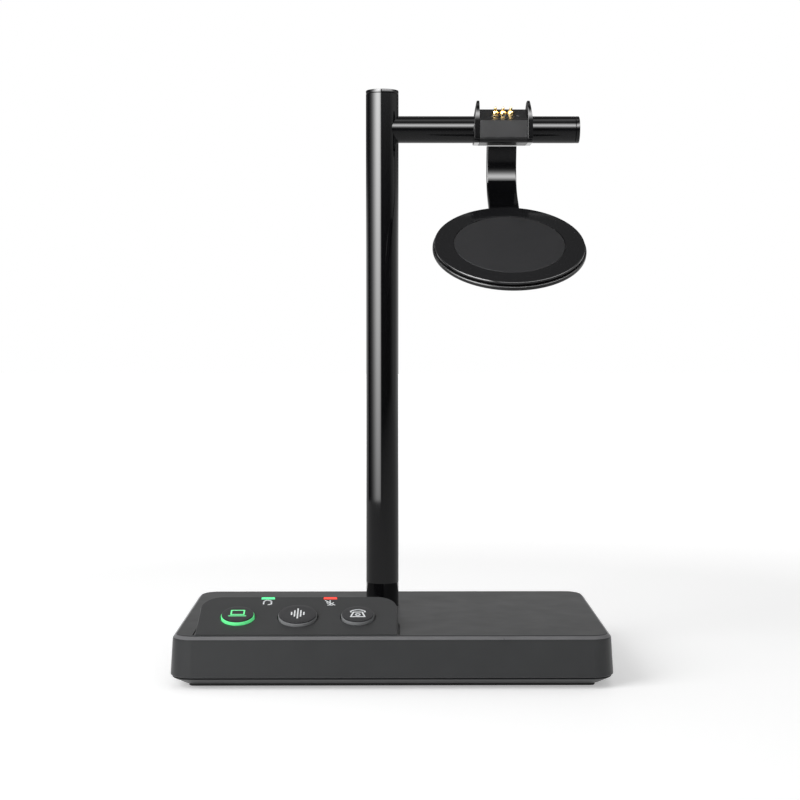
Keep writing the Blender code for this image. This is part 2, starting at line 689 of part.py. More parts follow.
def build_arm(gloss_black, plate_frame):
    """The side arm, its end shaped to the pole's round side."""
    inner = ARM_RADIUS - ARM_WALL
    end = ARM_END - ARM_CAP - POLE_X
    start = POLE_RADIUS / 2
    axis = (POLE_X, POLE_Y, ARM_Z)
    mesh = along_x(turned_mesh("arm_tube", [(inner, start), (ARM_RADIUS, start),
                                            (ARM_RADIUS, end), (inner, end)], closed=True))
    arm = make_object("arm_tube", mesh, gloss_black, axis)
    cut(arm, peg_mesh(POLE_RADIUS + FIT, ARM_Z - 2 * ARM_RADIUS, ARM_Z + 2 * ARM_RADIUS, ROUND),
        location=(POLE_X, POLE_Y, 0))
    slot_half = PIN_PITCH + BARREL_RADIUS + GAP
    cut(arm, plain_box("pin_slot", -slot_half, slot_half, PIN_UP_PLATE - 1.4 * MM,
                       PIN_UP_PLATE + 1.4 * MM, -BARREL_DEPTH, 0.0), plate_frame)
    plug = inner - FIT
    edge = 0.3 * MM
    cap = along_x(turned_mesh("arm_end_cap", [
        (plug, end - CAP_PLUG), (plug, end + FIT), (ARM_RADIUS, end + FIT),
        (ARM_RADIUS, end + ARM_CAP - edge), (ARM_RADIUS - edge, end + ARM_CAP)]))
    make_object("arm_end_cap", cap, gloss_black, axis)


def build_harness(rubber, plastic):
    """The charging lead, held inside the arm and the pole, and its plug on the board."""
    low = MAIN_BOARD_TOP + FIT
    width, depth, height = HARNESS_PLUG
    plug_front = MAIN_BOARD_BACK - MAIN_BOARD_DEPTH + FIT
    make_object("harness_plug",
                plain_box("harness_plug", -width / 2, width / 2, 0.0, depth, 0.0, height),
                plastic, (POLE_X, plug_front, low))
    turn = 3.0 * MM
    plug_z = low + height / 2
    contact_x = CRADLE_X - CONTACT_BOARD[0] / 2 - GAP
    route = [Vector((contact_x, POLE_Y, ARM_Z))]
    corner = Vector((POLE_X, POLE_Y, ARM_Z))
    for step in range(7):
        angle = math.radians(90 + 90 * step / 6)
        route.append(corner + Vector((turn + turn * math.cos(angle), 0.0,
                                      -turn + turn * math.sin(angle))))
    bottom = Vector((POLE_X, POLE_Y, plug_z))
    for step in range(7):
        angle = math.radians(180 + 90 * step / 6)
        route.append(bottom + Vector((0.0, turn + turn * math.cos(angle),
                                      turn + turn * math.sin(angle))))
    route.append(Vector((POLE_X, plug_front - FIT, plug_z)))
    curve = bpy.data.curves.new("charging_lead", "CURVE")
    curve.dimensions = "3D"
    curve.bevel_depth = HARNESS_RADIUS
    curve.bevel_resolution = 2
    curve.use_fill_caps = True
    line = curve.splines.new("POLY")
    line.points.add(len(route) - 1)
    for point, place in zip(line.points, route):
        point.co = (*place, 1.0)
    curve.materials.append(rubber)
    lead = bpy.data.objects.new("charging_lead", curve)
    bpy.context.scene.collection.objects.link(lead)


# ================================================================ cradle
def plate_point(up, out):
    """(Y, Z) of a point up the contact plate and out from its face."""
    return (CRADLE_FRONT + up * math.cos(PLATE_TILT) - out * math.sin(PLATE_TILT),
            CRADLE_LIP_Z + up * math.sin(PLATE_TILT) + out * math.cos(PLATE_TILT))


def cradle_underside():
    """The front, bottom and back of the cradle in (Y, Z), from back top to front top."""
    bend = 2.0 * MM
    back_bend = 3.5 * MM
    low_back = (CRADLE_BACK - back_bend, CRADLE_BOTTOM + back_bend)
    low_front = (CRADLE_FRONT + bend, CRADLE_BOTTOM + bend)
    crown = (CRADLE_BACK - back_bend, ARM_Z + ARM_RADIUS - 1.4 * MM)
    return (arc_points(crown, back_bend, 60, 0, 5) + arc_points(low_back, back_bend, 0, -90, 6)
            + arc_points(low_front, bend, -90, -180, 6))


def build_cradle(plastic, gloss, plate_plastic, plate_frame):
    left = CRADLE_X - CRADLE_WIDTH / 2
    right = CRADLE_X + CRADLE_WIDTH / 2
    floor = -PLATE - FIT
    rim_end = PLATE_LENGTH - PLATE_RIM
    outline = cradle_underside() + [
        plate_point(0.0, 0.0), plate_point(PLATE_RIM, 0.0), plate_point(PLATE_RIM, floor),
        plate_point(rim_end, floor), plate_point(rim_end, 0.0), plate_point(PLATE_LENGTH, 0.0)]
    body = make_object("cradle_body",
                       side_prism("cradle_body", outline, left + CHEEK + FIT,
                                  right - CHEEK - FIT), plastic)
    bore = along_x(peg_mesh(ARM_RADIUS + FIT, 0.0, 2 * CRADLE_WIDTH, ROUND))
    bore_start = (left - CRADLE_WIDTH / 2, POLE_Y, ARM_Z)
    cut(body, bore, location=bore_start)
    cut_pin_holes(body, plate_frame)
    width, depth, height = NECK_TENON
    cut(body, plain_box("tenon_slot", -width / 2 - FIT, width / 2 + FIT, -FIT, depth + FIT,
                        -WALL, height + FIT),
        location=(CRADLE_X, tenon_front(), CRADLE_BOTTOM - GAP))

    half = CRADLE_WIDTH / 2 - CHEEK - FIT
    plate_mesh = plain_box("contact_plate", -half, half, PLATE_RIM + FIT, rim_end - FIT,
                           -PLATE, 0.0)
    plate = make_object("contact_plate", plate_mesh, plate_plastic, parent=plate_frame)
    cut_pin_holes(plate, plate_frame)
    for step in (-1, 0, 1):
        cut(plate, peg_mesh(DIMPLE_RADIUS, -DIMPLE_DEPTH, PLATE), plate_frame,
            (step * DIMPLE_PITCH, DIMPLE_UP_PLATE, 0))

    for name, side, inner in (("left", -1, left + CHEEK), ("right", 1, right - CHEEK)):
        cheek = make_object("cradle_cheek_" + name, cheek_mesh(side, inner), gloss)
        cut(cheek, along_x(peg_mesh(ARM_RADIUS + FIT, 0.0, 2 * CRADLE_WIDTH, ROUND)),
            location=bore_start)
    return body


def cut_pin_holes(piece, plate_frame):
    for step in (-1, 0, 1):
        cut(piece, peg_mesh(BARREL_RADIUS + FIT, -2 * BARREL_DEPTH, PLATE), plate_frame,
            (step * PIN_PITCH, PIN_UP_PLATE, 0))


def cheek_mesh(side, inner):
    """A side plate whose outer face leans in above the lip to a thin ear."""
    front_top = (CRADLE_FRONT, CRADLE_LIP_Z)
    peak_front = (CRADLE_FRONT + 4.4 * MM, CHEEK_PEAK_Z)
    peak_back = (CRADLE_FRONT + 8.0 * MM, CHEEK_PEAK_Z)
    back_top = cradle_underside()[0]
    ear = bezier_points(front_top, (CRADLE_FRONT, CRADLE_LIP_Z + 4.0 * MM),
                        (peak_front[0] - 2.2 * MM, CHEEK_PEAK_Z), peak_front, 7)
    ear += bezier_points(peak_front, (peak_front[0] + 1.2 * MM, CHEEK_PEAK_Z + 0.1 * MM),
                         (peak_back[0] - 1.2 * MM, CHEEK_PEAK_Z + 0.1 * MM), peak_back, 3)
    ear += bezier_points(peak_back, (peak_back[0] + 2.6 * MM, CHEEK_PEAK_Z - 0.4 * MM),
                         (back_top[0] - 1.2 * MM, back_top[1] + 1.2 * MM), back_top, 6)
    outline = cradle_underside() + ear
    outer = []
    for y, z in outline:
        rise = max(0.0, z - CRADLE_LIP_Z) / (CHEEK_PEAK_Z - CRADLE_LIP_Z)
        thickness = CHEEK + (CHEEK_TOP - CHEEK) * min(rise, 1.0)
        outer.append(Vector((inner + side * thickness, y, z)))
    inside = [Vector((inner, y, z)) for y, z in outline]
    return mesh_from_rings("cradle_cheek", [inside, outer])


def build_pins(gold, plate_frame):
    """Spring-loaded charging contacts: a fixed barrel and a plunger that slides in it."""
    for name, step in (("left", -1), ("middle", 0), ("right", 1)):
        place = (step * PIN_PITCH, PIN_UP_PLATE, 0)
        bore = PIN_RADIUS + FIT
        barrel = turned_mesh("pin_barrel", [
            (BARREL_RADIUS, -BARREL_DEPTH), (BARREL_RADIUS, FIT), (BARREL_FOOT, FIT),
            (BARREL_FOOT, 3 * FIT), (BARREL_RADIUS, BARREL_PROUD), (bore, BARREL_PROUD),
            (bore, -BARREL_DEPTH + 4 * FIT)], SMALL_ROUND)
        make_object("pin_barrel_" + name, barrel, gold, place, plate_frame)
        slide = make_empty("pin_slide_" + name, place, parent=plate_frame)
        tip = PIN_RADIUS * 0.55
        plunger = turned_mesh("pin_plunger", [
            (PIN_RADIUS, -PIN_TAIL), (PIN_RADIUS, PIN_PROUD - PIN_RADIUS),
            (tip, PIN_PROUD)], SMALL_ROUND)
        make_object("pin_plunger_" + name, plunger, gold, parent=slide)


def build_contact_board(board_green, plate_frame):
    width, depth, height = CONTACT_BOARD
    top = -BARREL_DEPTH - FIT
    mesh = plain_box("contact_board", -width / 2, width / 2, -depth / 2, depth / 2,
                     top - height, top)
    make_object("contact_board", mesh, board_green, (0, PIN_UP_PLATE, 0), plate_frame)


# ================================================================ neck and rest
def rest_point(up, out):
    """(Y, Z) of a point up the rest's slope and out from its face."""
    return (REST_Y + up * math.cos(REST_TILT) - out * math.sin(REST_TILT),
            REST_Z + up * math.sin(REST_TILT) + out * math.cos(REST_TILT))


def tenon_front():
    return NECK_TOP_Y + (NECK_THICKNESS - NECK_TENON[1]) / 2


def neck_line():
    """The neck's front face in (Y, Z): down from the cradle and on under the rest."""
    top = (NECK_TOP_Y, CRADLE_BOTTOM - GAP)
    waist = (17.7 * MM, 180.3 * MM)
    run_in = rest_point(SHELL_RADIUS + 5.6 * MM, -2.9 * MM)
    under = rest_point(SHELL_RADIUS - 3.0 * MM, -REST_THICKNESS - GAP)
    end = rest_point(NECK_END, -REST_THICKNESS - GAP)
    slope_y, slope_z = math.cos(REST_TILT), math.sin(REST_TILT)
    reach = 8.5 * MM
    line = bezier_points(top, (top[0] + 0.4 * MM, top[1] - 3.0 * MM),
                         (waist[0], waist[1] + 3.0 * MM), waist, 5)
    line += bezier_points(waist, (waist[0], waist[1] - reach),
                          (run_in[0] + reach * slope_y, run_in[1] + reach * slope_z),
                          run_in, 12)
    line += bezier_points(run_in, (run_in[0] - 3.0 * MM * slope_y, run_in[1] - 3.0 * MM * slope_z),
                          (under[0] + 3.0 * MM * slope_y, under[1] + 3.0 * MM * slope_z),
                          under, 4)
    return line + [under, end]


def build_neck(gloss_black, rest_frame):
    line = [Vector((0.0, y, z)) for y, z in neck_line()]
    half, bevel = NECK_WIDTH / 2, NECK_BEVEL
    section = ((-half + bevel, 0.0), (half - bevel, 0.0), (half, bevel),
               (half, NECK_THICKNESS - bevel), (half - bevel, NECK_THICKNESS),
               (bevel - half, NECK_THICKNESS), (-half, NECK_THICKNESS - bevel), (-half, bevel))
    rings = []
    for i, point in enumerate(line):
        ahead = line[min(i + 1, len(line) - 1)] - line[max(i - 1, 0)]
        if i == 0:
            ahead = Vector((0, 0, -1))
        ahead.normalize()
        behind = Vector((0.0, -ahead.z, ahead.y))
        rings.append([Vector((CRADLE_X + x, 0, 0)) + point + behind * depth
                      for x, depth in section])
    neck = make_object("neck_strip", mesh_from_rings("neck_strip", rings), gloss_black)
    width, depth, height = NECK_TENON
    join(neck, plain_box("neck_tenon", -width / 2, width / 2, 0.0, depth, -WALL, height),
         location=(CRADLE_X, tenon_front(), CRADLE_BOTTOM - GAP))
    for up in rest_screw_places():
        cut(neck, peg_mesh(REST_SCREW_SHANK + FIT, -3 * REST_THICKNESS, 0.0), rest_frame,
            (0, up, 0))


def rest_screw_places():
    return (-REST_SCREW_SPACING / 2, REST_SCREW_SPACING / 2)


def build_rest(plastic, gloss, pad_material, steel, rest_frame):
    """The round rest: a shell, a glossy ring on it and a matte pad inside the ring."""
    rim = -RING_THICKNESS - SHADOW_GAP
    step = SHELL_RADIUS - RING_RADIUS + GAP
    edge = 0.4 * MM
    pocket = PAD_RADIUS - GAP
    pocket_floor = rim - MAGNET_THICKNESS + GAP
    shell = turned_mesh("rest_shell", [
        (SHELL_RADIUS - 3 * edge, -REST_THICKNESS), (SHELL_RADIUS, -REST_THICKNESS + 1.5 * edge),
        (SHELL_RADIUS, rim - edge), (SHELL_RADIUS - edge, rim), (MAGNET_RADIUS + GAP, rim),
        (MAGNET_RADIUS + GAP, pocket_floor)], REST_ROUND)
    shell_piece = make_object("rest_shell", shell, plastic, parent=rest_frame)
    ring = turned_mesh("rest_ring", [
        (PAD_RADIUS + FIT, -RING_THICKNESS), (RING_RADIUS - step, -RING_THICKNESS),
        (RING_RADIUS, -RING_THICKNESS + edge), (RING_RADIUS, -edge), (RING_RADIUS - edge, 0.0),
        (PAD_RADIUS + FIT, 0.0)], REST_ROUND, closed=True)
    make_object("rest_ring", ring, gloss, parent=rest_frame)
    pad = turned_mesh("rest_pad", [(pocket, rim + FIT), (PAD_RADIUS, rim + 2 * FIT),
                                   (PAD_RADIUS, -PAD_RECESS)], REST_ROUND)
    make_object("rest_pad", pad, pad_material, parent=rest_frame)
    magnet = turned_mesh("rest_steel_plate", [(MAGNET_RADIUS, pocket_floor + FIT),
                                              (MAGNET_RADIUS, rim)], ROUND)
    make_object("rest_steel_plate", magnet, steel, parent=rest_frame)
    for name, up in zip(("front", "back"), rest_screw_places()):
        hole_top = pocket_floor - 3 * FIT
        cut(shell_piece, peg_mesh(REST_SCREW_SHANK + FIT, -2 * REST_THICKNESS, hole_top),
            rest_frame, (0, up, 0))
        head_seat = -REST_THICKNESS - GAP - NECK_THICKNESS - FIT
        reach = hole_top - FIT - head_seat
        mesh = screw_mesh("rest_screw", REST_SCREW_SHANK, REST_SCREW_HEAD, SCREW_HEAD_HEIGHT,
                          reach)
        make_object("rest_screw_" + name, mesh, steel, (0, up, head_seat), rest_frame)


# ================================================================ assembly
def build_stand():
    for old in list(bpy.data.objects):
        bpy.data.objects.remove(old)

    base_black = make_material("base_black", (0.028, 0.029, 0.032), 0.45)
    gloss_black = make_material("gloss_black", (0.004, 0.004, 0.005), 0.08)
    satin_black = make_material("satin_black", (0.018, 0.018, 0.020), 0.35)
    rubber = make_material("rubber", (0.010, 0.010, 0.010), 0.8)
    pad_black = make_material("pad_black", (0.020, 0.020, 0.022), 0.6)
    steel = make_material("steel", (0.45, 0.45, 0.46), 0.35, 1.0)
    gold = make_material("gold", (0.83, 0.60, 0.26), 0.25, 1.0)
    board_green = make_material("board_green", (0.02, 0.12, 0.05), 0.5)
    ring_grey = make_material("ring_grey", (0.30, 0.31, 0.32), 0.4)
    ring_green = make_material("ring_green", (0.13, 0.85, 0.30), 0.4, emission=(0.13, 0.85, 0.3))
    led_green = make_material("led_green", (0.1, 0.8, 0.3), 0.4, emission=(0.1, 0.8, 0.3))
    led_red = make_material("led_red", (0.9, 0.06, 0.04), 0.4, emission=(0.9, 0.06, 0.04))

    panel_frame = make_empty("panel_frame", (0, CONSOLE_FRONT, TOP_HEIGHT), CONSOLE_SLOPE)
    plate_frame = make_empty("plate_frame", (CRADLE_X, CRADLE_FRONT, CRADLE_LIP_Z), PLATE_TILT)
    rest_frame = make_empty("rest_frame", (CRADLE_X, REST_Y, REST_Z), REST_TILT)

    build_top_housing(base_black)
    build_bottom_cover(base_black)
    build_base_mat(rubber)
    build_ballast(steel)
    build_cover_screws(steel)
    build_main_board(board_green, steel)
    build_usb_port(steel)
    build_phone_jack(satin_black)
    build_power_jack(satin_black)

    console = build_console(base_black, panel_frame)
    build_led_windows(console, panel_frame, led_green, led_red)
    for name, x, radius in button_places():
        ring_material = ring_green if name == "laptop" else ring_grey
        build_button(name, x, radius, satin_black, ring_material, satin_black, panel_frame)
    build_button_board(board_green, steel, panel_frame)

    build_pole(gloss_black, steel)
    build_arm(gloss_black, plate_frame)
    build_harness(rubber, satin_black)

    build_cradle(satin_black, gloss_black, satin_black, plate_frame)
    build_pins(gold, plate_frame)
    build_contact_board(board_green, plate_frame)
    build_neck(gloss_black, rest_frame)
    build_rest(satin_black, gloss_black, pad_black, steel, rest_frame)


build_stand()
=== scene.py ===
"""The looks of the headset charging stand: finishes, printed signs, studio and camera.

Metres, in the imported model's frame: +X right, +Y back, +Z up, origin on the desk.
"""
import json
import math

import bmesh
import bpy
from mathutils import Matrix, Vector


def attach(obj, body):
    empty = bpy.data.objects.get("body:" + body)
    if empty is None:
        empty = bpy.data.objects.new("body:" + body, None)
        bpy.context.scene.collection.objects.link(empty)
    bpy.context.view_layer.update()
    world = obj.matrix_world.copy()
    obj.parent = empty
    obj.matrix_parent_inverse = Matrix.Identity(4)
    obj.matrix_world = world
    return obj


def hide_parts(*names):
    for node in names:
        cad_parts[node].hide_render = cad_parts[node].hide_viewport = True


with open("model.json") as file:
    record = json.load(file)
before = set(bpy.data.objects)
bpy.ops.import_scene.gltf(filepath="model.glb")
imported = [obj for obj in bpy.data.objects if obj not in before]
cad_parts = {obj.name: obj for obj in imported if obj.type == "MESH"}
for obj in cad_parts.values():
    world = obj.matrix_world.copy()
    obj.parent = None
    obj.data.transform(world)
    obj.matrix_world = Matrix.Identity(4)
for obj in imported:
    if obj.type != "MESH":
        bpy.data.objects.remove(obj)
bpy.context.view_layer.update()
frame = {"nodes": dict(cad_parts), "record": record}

MM = 0.001

# ---------------------------------------------------------------- clearances
FIT = 0.1 * MM              # between parts that are pushed or glued together
GAP = 0.3 * MM              # between parts that rest on one another
SLIDE_GAP = 0.35 * MM       # around a part that slides in a well

# ---------------------------------------------------------------- base
TOP_WIDTH = 146.5 * MM      # flat top face, along X
TOP_DEPTH = 91.0 * MM       # flat top face, along Y
TOP_CORNER = 6.0 * MM
TOP_HEIGHT = 17.9 * MM
EDGE_CHAMFER = 1.4 * MM
WALL_DRAFT = 0.8 * MM       # how far the wall leans out down to its lower edge
WALL_BOTTOM = 3.8 * MM
WALL = 2.0 * MM
ROOF = 2.2 * MM

COVER_INSET = 0.6 * MM      # shadow line under the wall
COVER_TAPER = 4.4 * MM
COVER_FLOOR = 1.8 * MM
COVER_LIP = 2.4 * MM        # how far the cover's lip reaches up inside the wall
LIP_WALL = 1.4 * MM
MAT_THICKNESS = 1.0 * MM
MAT_INSET = 1.3 * MM

# ---------------------------------------------------------------- console
CONSOLE_LEFT = -67.2 * MM
CONSOLE_RIGHT = 2.3 * MM
CONSOLE_FRONT_INSET = 0.6 * MM
CONSOLE_BACK = -17.6 * MM
CONSOLE_SLOPE = math.radians(18.0)
CONSOLE_CORNER = 8.0 * MM
CONSOLE_FRONT_CORNER = 1.2 * MM
CONSOLE_DRAFT = 0.6 * MM
CONSOLE_SEAT = 1.2 * MM     # depth of the pocket that the console drops into
PANEL = 1.8 * MM
PANEL_EDGE = 0.35 * MM

BUTTON_PITCH = 20.7 * MM
BUTTON_MIDDLE_X = -32.5 * MM
BUTTON_UP_SLOPE = 13.0 * MM
BUTTON_RADIUS = 5.75 * MM
MIDDLE_BUTTON_RADIUS = 6.75 * MM
BUTTON_PROUD = 1.4 * MM
CAP_FACE = 0.5 * MM
CAP_OVERHANG = 0.25 * MM    # by how much the ring stands out past the cap's face
STEM_RADIUS = 3.0 * MM
STEM_LENGTH = 4.6 * MM      # below the panel's surface
FLANGE_WIDTH = 0.8 * MM
FLANGE_THICKNESS = 0.8 * MM
BOARD = 1.6 * MM

LED_WIDTH = 4.7 * MM
LED_LENGTH = 1.5 * MM
LED_DEPTH = 2.6 * MM
LED_X = (-43.6 * MM, -21.7 * MM)

# ---------------------------------------------------------------- ports
STANDOFF_HEIGHT = 2.2 * MM
USB_X = -24.0 * MM
USB_WIDTH = 9.0 * MM
USB_HEIGHT = 3.2 * MM
JACK_X = 22.0 * MM
JACK_WIDTH = 10.4 * MM
JACK_HEIGHT = 7.8 * MM
POWER_X = -42.0 * MM
POWER_SIDE = 7.6 * MM

# ---------------------------------------------------------------- pole and arm
POLE_X = -3.44 * MM
POLE_Y = 14.5 * MM
POLE_RADIUS = 6.0 * MM
POLE_WALL = 1.0 * MM
POLE_TOP = 208.2 * MM
POLE_FOOT = 10.4 * MM
POLE_CAP = 1.3 * MM
CAP_PLUG = 4.0 * MM

ARM_Z = 194.0 * MM
ARM_RADIUS = 4.9 * MM
ARM_WALL = 1.0 * MM
ARM_END = 68.95 * MM
ARM_CAP = 1.5 * MM
HARNESS_HOLE = 3.2 * MM

# ---------------------------------------------------------------- cradle
CRADLE_X = 40.7 * MM
CRADLE_WIDTH = 21.2 * MM
CHEEK = 1.85 * MM
CHEEK_TOP = 0.85 * MM
CRADLE_FRONT = 5.2 * MM
CRADLE_LIP_Z = 196.4 * MM   # front edge of the contact plate
CRADLE_BOTTOM = 188.5 * MM
CRADLE_BACK = 21.2 * MM
CHEEK_PEAK_Z = 204.0 * MM
PLATE_TILT = math.radians(30.2)
PLATE_LENGTH = 9.84 * MM
PLATE = 1.0 * MM
PLATE_RIM = 0.45 * MM
PIN_PITCH = 2.84 * MM
PIN_UP_PLATE = 6.5 * MM
PIN_RADIUS = 0.5 * MM
PIN_PROUD = 2.35 * MM
PIN_TRAVEL = 1.0 * MM
PIN_TAIL = 2.2 * MM
BARREL_RADIUS = 0.9 * MM
PIN_SLOT_HALF = 1.4 * MM    # half the width of the slot that the arm leaves for the barrels
BARREL_PROUD = 0.95 * MM
BARREL_FOOT = 1.25 * MM
BARREL_DEPTH = PIN_TAIL + PIN_TRAVEL + 0.6 * MM
DIMPLE_PITCH = 4.5 * MM
DIMPLE_RADIUS = 1.65 * MM
DIMPLE_DEPTH = 0.25 * MM
DIMPLE_UP_PLATE = 3.1 * MM

# ---------------------------------------------------------------- neck
NECK_WIDTH = 11.0 * MM
NECK_THICKNESS = 2.6 * MM
NECK_BEVEL = 0.5 * MM
NECK_TOP_Y = 16.4 * MM
NECK_END = -9.0 * MM        # along the rest's slope, past its middle

# ---------------------------------------------------------------- ear cup rest
REST_Y = -24.8 * MM
REST_Z = 150.6 * MM
REST_TILT = math.radians(32.3)
SHELL_RADIUS = 26.65 * MM
RING_RADIUS = 26.1 * MM
PAD_RADIUS = 19.25 * MM
RING_THICKNESS = 1.15 * MM
PAD_RECESS = 0.1 * MM
REST_THICKNESS = 3.1 * MM
SHADOW_GAP = 0.35 * MM
MAGNET_RADIUS = 14.0 * MM
MAGNET_THICKNESS = 0.7 * MM
REST_SCREW_SPACING = 8.0 * MM
REST_SCREW_SHANK = 0.9 * MM

ROUND = 128                 # sides of a large round piece
REST_ROUND = 192
SMALL_ROUND = 40


ROOF_UNDERSIDE = TOP_HEIGHT - ROOF
WALL_SPREAD = EDGE_CHAMFER + WALL_DRAFT
INNER_BACK = TOP_DEPTH / 2 + EDGE_CHAMFER - WALL
COVER_TOP = WALL_BOTTOM - GAP
COVER_BOTTOM = MAT_THICKNESS + FIT
FLOOR_TOP = COVER_BOTTOM + COVER_FLOOR
MAIN_BOARD_LOW = FLOOR_TOP + STANDOFF_HEIGHT + FIT
MAIN_BOARD_TOP = MAIN_BOARD_LOW + BOARD
PORT_BOTTOM = MAIN_BOARD_TOP + FIT
CONSOLE_FRONT = -TOP_DEPTH / 2 + CONSOLE_FRONT_INSET
SEAT_Z = TOP_HEIGHT - CONSOLE_SEAT


def rounded_outline(left, right, front, back, corner, front_corner=None, steps=14):
    """A rectangle with round corners, anticlockwise from its front right corner."""
    front_corner = corner if front_corner is None else front_corner
    corners = (
        (right - front_corner, front + front_corner, front_corner, -90),
        (right - corner, back - corner, corner, 0),
        (left + corner, back - corner, corner, 90),
        (left + front_corner, front + front_corner, front_corner, 180),
    )
    outline = []
    for x, y, radius, start in corners:
        for step in range(steps + 1):
            angle = math.radians(start + 90 * step / steps)
            outline.append((x + radius * math.cos(angle), y + radius * math.sin(angle)))
    return outline


def centred_outline(width, depth, corner, steps=14):
    return rounded_outline(-width / 2, width / 2, -depth / 2, depth / 2, corner, steps=steps)


def level(outline, z):
    return [Vector((x, y, z)) for x, y in outline]


def circle(radius, z, steps):
    return [Vector((radius * math.cos(math.tau * i / steps),
                    radius * math.sin(math.tau * i / steps), z)) for i in range(steps)]


def mesh_from_rings(name, rings, closed=False):
    """A closed skin through rings of equally many points, capped unless it is a loop."""
    shape = bmesh.new()
    rows = [[shape.verts.new(point) for point in ring] for ring in rings]
    pairs = list(zip(rows, rows[1:]))
    if closed:
        pairs.append((rows[-1], rows[0]))
    else:
        shape.faces.new(rows[0])
        shape.faces.new(rows[-1])
    for lower, upper in pairs:
        for i in range(len(lower)):
            j = (i + 1) % len(lower)
            shape.faces.new((lower[i], lower[j], upper[j], upper[i]))
    bmesh.ops.recalc_face_normals(shape, faces=shape.faces)
    mesh = bpy.data.meshes.new(name)
    shape.to_mesh(mesh)
    shape.free()
    return mesh


def turned_mesh(name, profile, steps=ROUND, closed=False):
    """A turned piece: profile holds (radius, height) points."""
    return mesh_from_rings(name, [circle(r, z, steps) for r, z in profile], closed)


def along_x(mesh):
    """Turn a piece made along Z so that it lies along X."""
    mesh.transform(Matrix.Rotation(math.radians(90), 4, "Y"))
    return mesh


def plain_box(name, left, right, front, back, low, high):
    corners = ((left, front), (right, front), (right, back), (left, back))
    return mesh_from_rings(name, [level(corners, low), level(corners, high)])


def side_prism(name, outline, left, right):
    """A slab across X whose outline is drawn in (Y, Z)."""
    return mesh_from_rings(name, [[Vector((left, y, z)) for y, z in outline],
                                  [Vector((right, y, z)) for y, z in outline]])


def peg_mesh(radius, low, high, steps=SMALL_ROUND):
    return turned_mesh("peg", [(radius, low), (radius, high)], steps)


def arc_points(centre, radius, start, end, steps):
    """Points of an arc in (Y, Z), angles in degrees from +Y."""
    points = []
    for step in range(steps + 1):
        angle = math.radians(start + (end - start) * step / steps)
        points.append((centre[0] + radius * math.cos(angle),
                       centre[1] + radius * math.sin(angle)))
    return points


def bezier_points(start, start_pull, end_pull, end, steps):
    """Points of a cubic curve in (Y, Z), without its last point."""
    points = []
    for step in range(steps):
        t = step / steps
        blend = ((1 - t) ** 3, 3 * (1 - t) ** 2 * t, 3 * (1 - t) * t ** 2, t ** 3)
        ends = (start, start_pull, end_pull, end)
        points.append(tuple(sum(w * p[axis] for w, p in zip(blend, ends)) for axis in (0, 1)))
    return points


def base_outline(grow):
    """The base's outline, grown or shrunk evenly from its flat top face."""
    return centred_outline(TOP_WIDTH + 2 * grow, TOP_DEPTH + 2 * grow, TOP_CORNER + grow)


def console_outline(grow):
    return rounded_outline(CONSOLE_LEFT - grow, CONSOLE_RIGHT + grow, CONSOLE_FRONT - grow,
                           CONSOLE_BACK + grow, CONSOLE_CORNER + grow,
                           CONSOLE_FRONT_CORNER + grow)


def panel_height(y):
    return TOP_HEIGHT + (y - CONSOLE_FRONT) * math.tan(CONSOLE_SLOPE)


def button_places():
    """Name, position across, and radius of each button."""
    return [("laptop", BUTTON_MIDDLE_X - BUTTON_PITCH, BUTTON_RADIUS),
            ("headset", BUTTON_MIDDLE_X, MIDDLE_BUTTON_RADIUS),
            ("desk_phone", BUTTON_MIDDLE_X + BUTTON_PITCH, BUTTON_RADIUS)]


def plate_point(up, out):
    """(Y, Z) of a point up the contact plate and out from its face."""
    return (CRADLE_FRONT + up * math.cos(PLATE_TILT) - out * math.sin(PLATE_TILT),
            CRADLE_LIP_Z + up * math.sin(PLATE_TILT) + out * math.cos(PLATE_TILT))


def cradle_underside():
    """The front, bottom and back of the cradle in (Y, Z), from back top to front top."""
    bend = 2.0 * MM
    back_bend = 3.5 * MM
    low_back = (CRADLE_BACK - back_bend, CRADLE_BOTTOM + back_bend)
    low_front = (CRADLE_FRONT + bend, CRADLE_BOTTOM + bend)
    crown = (CRADLE_BACK - back_bend, ARM_Z + ARM_RADIUS - 1.4 * MM)
    return (arc_points(crown, back_bend, 60, 0, 12) + arc_points(low_back, back_bend, 0, -90, 16)
            + arc_points(low_front, bend, -90, -180, 14))


def cheek_mesh(side, inner):
    """A side plate whose outer face leans in above the lip to a thin ear."""
    front_top = (CRADLE_FRONT, CRADLE_LIP_Z)
    peak_front = (CRADLE_FRONT + 4.4 * MM, CHEEK_PEAK_Z)
    peak_back = (CRADLE_FRONT + 8.0 * MM, CHEEK_PEAK_Z)
    back_top = cradle_underside()[0]
    ear = bezier_points(front_top, (CRADLE_FRONT, CRADLE_LIP_Z + 4.0 * MM),
                        (peak_front[0] - 2.2 * MM, CHEEK_PEAK_Z), peak_front, 16)
    ear += bezier_points(peak_front, (peak_front[0] + 1.2 * MM, CHEEK_PEAK_Z + 0.1 * MM),
                         (peak_back[0] - 1.2 * MM, CHEEK_PEAK_Z + 0.1 * MM), peak_back, 8)
    ear += bezier_points(peak_back, (peak_back[0] + 2.6 * MM, CHEEK_PEAK_Z - 0.4 * MM),
                         (back_top[0] - 1.2 * MM, back_top[1] + 1.2 * MM), back_top, 14)
    outline = cradle_underside() + ear
    outer = []
    for y, z in outline:
        rise = max(0.0, z - CRADLE_LIP_Z) / (CHEEK_PEAK_Z - CRADLE_LIP_Z)
        thickness = CHEEK + (CHEEK_TOP - CHEEK) * min(rise, 1.0)
        outer.append(Vector((inner + side * thickness, y, z)))
    inside = [Vector((inner, y, z)) for y, z in outline]
    return mesh_from_rings("cradle_cheek", [inside, outer])


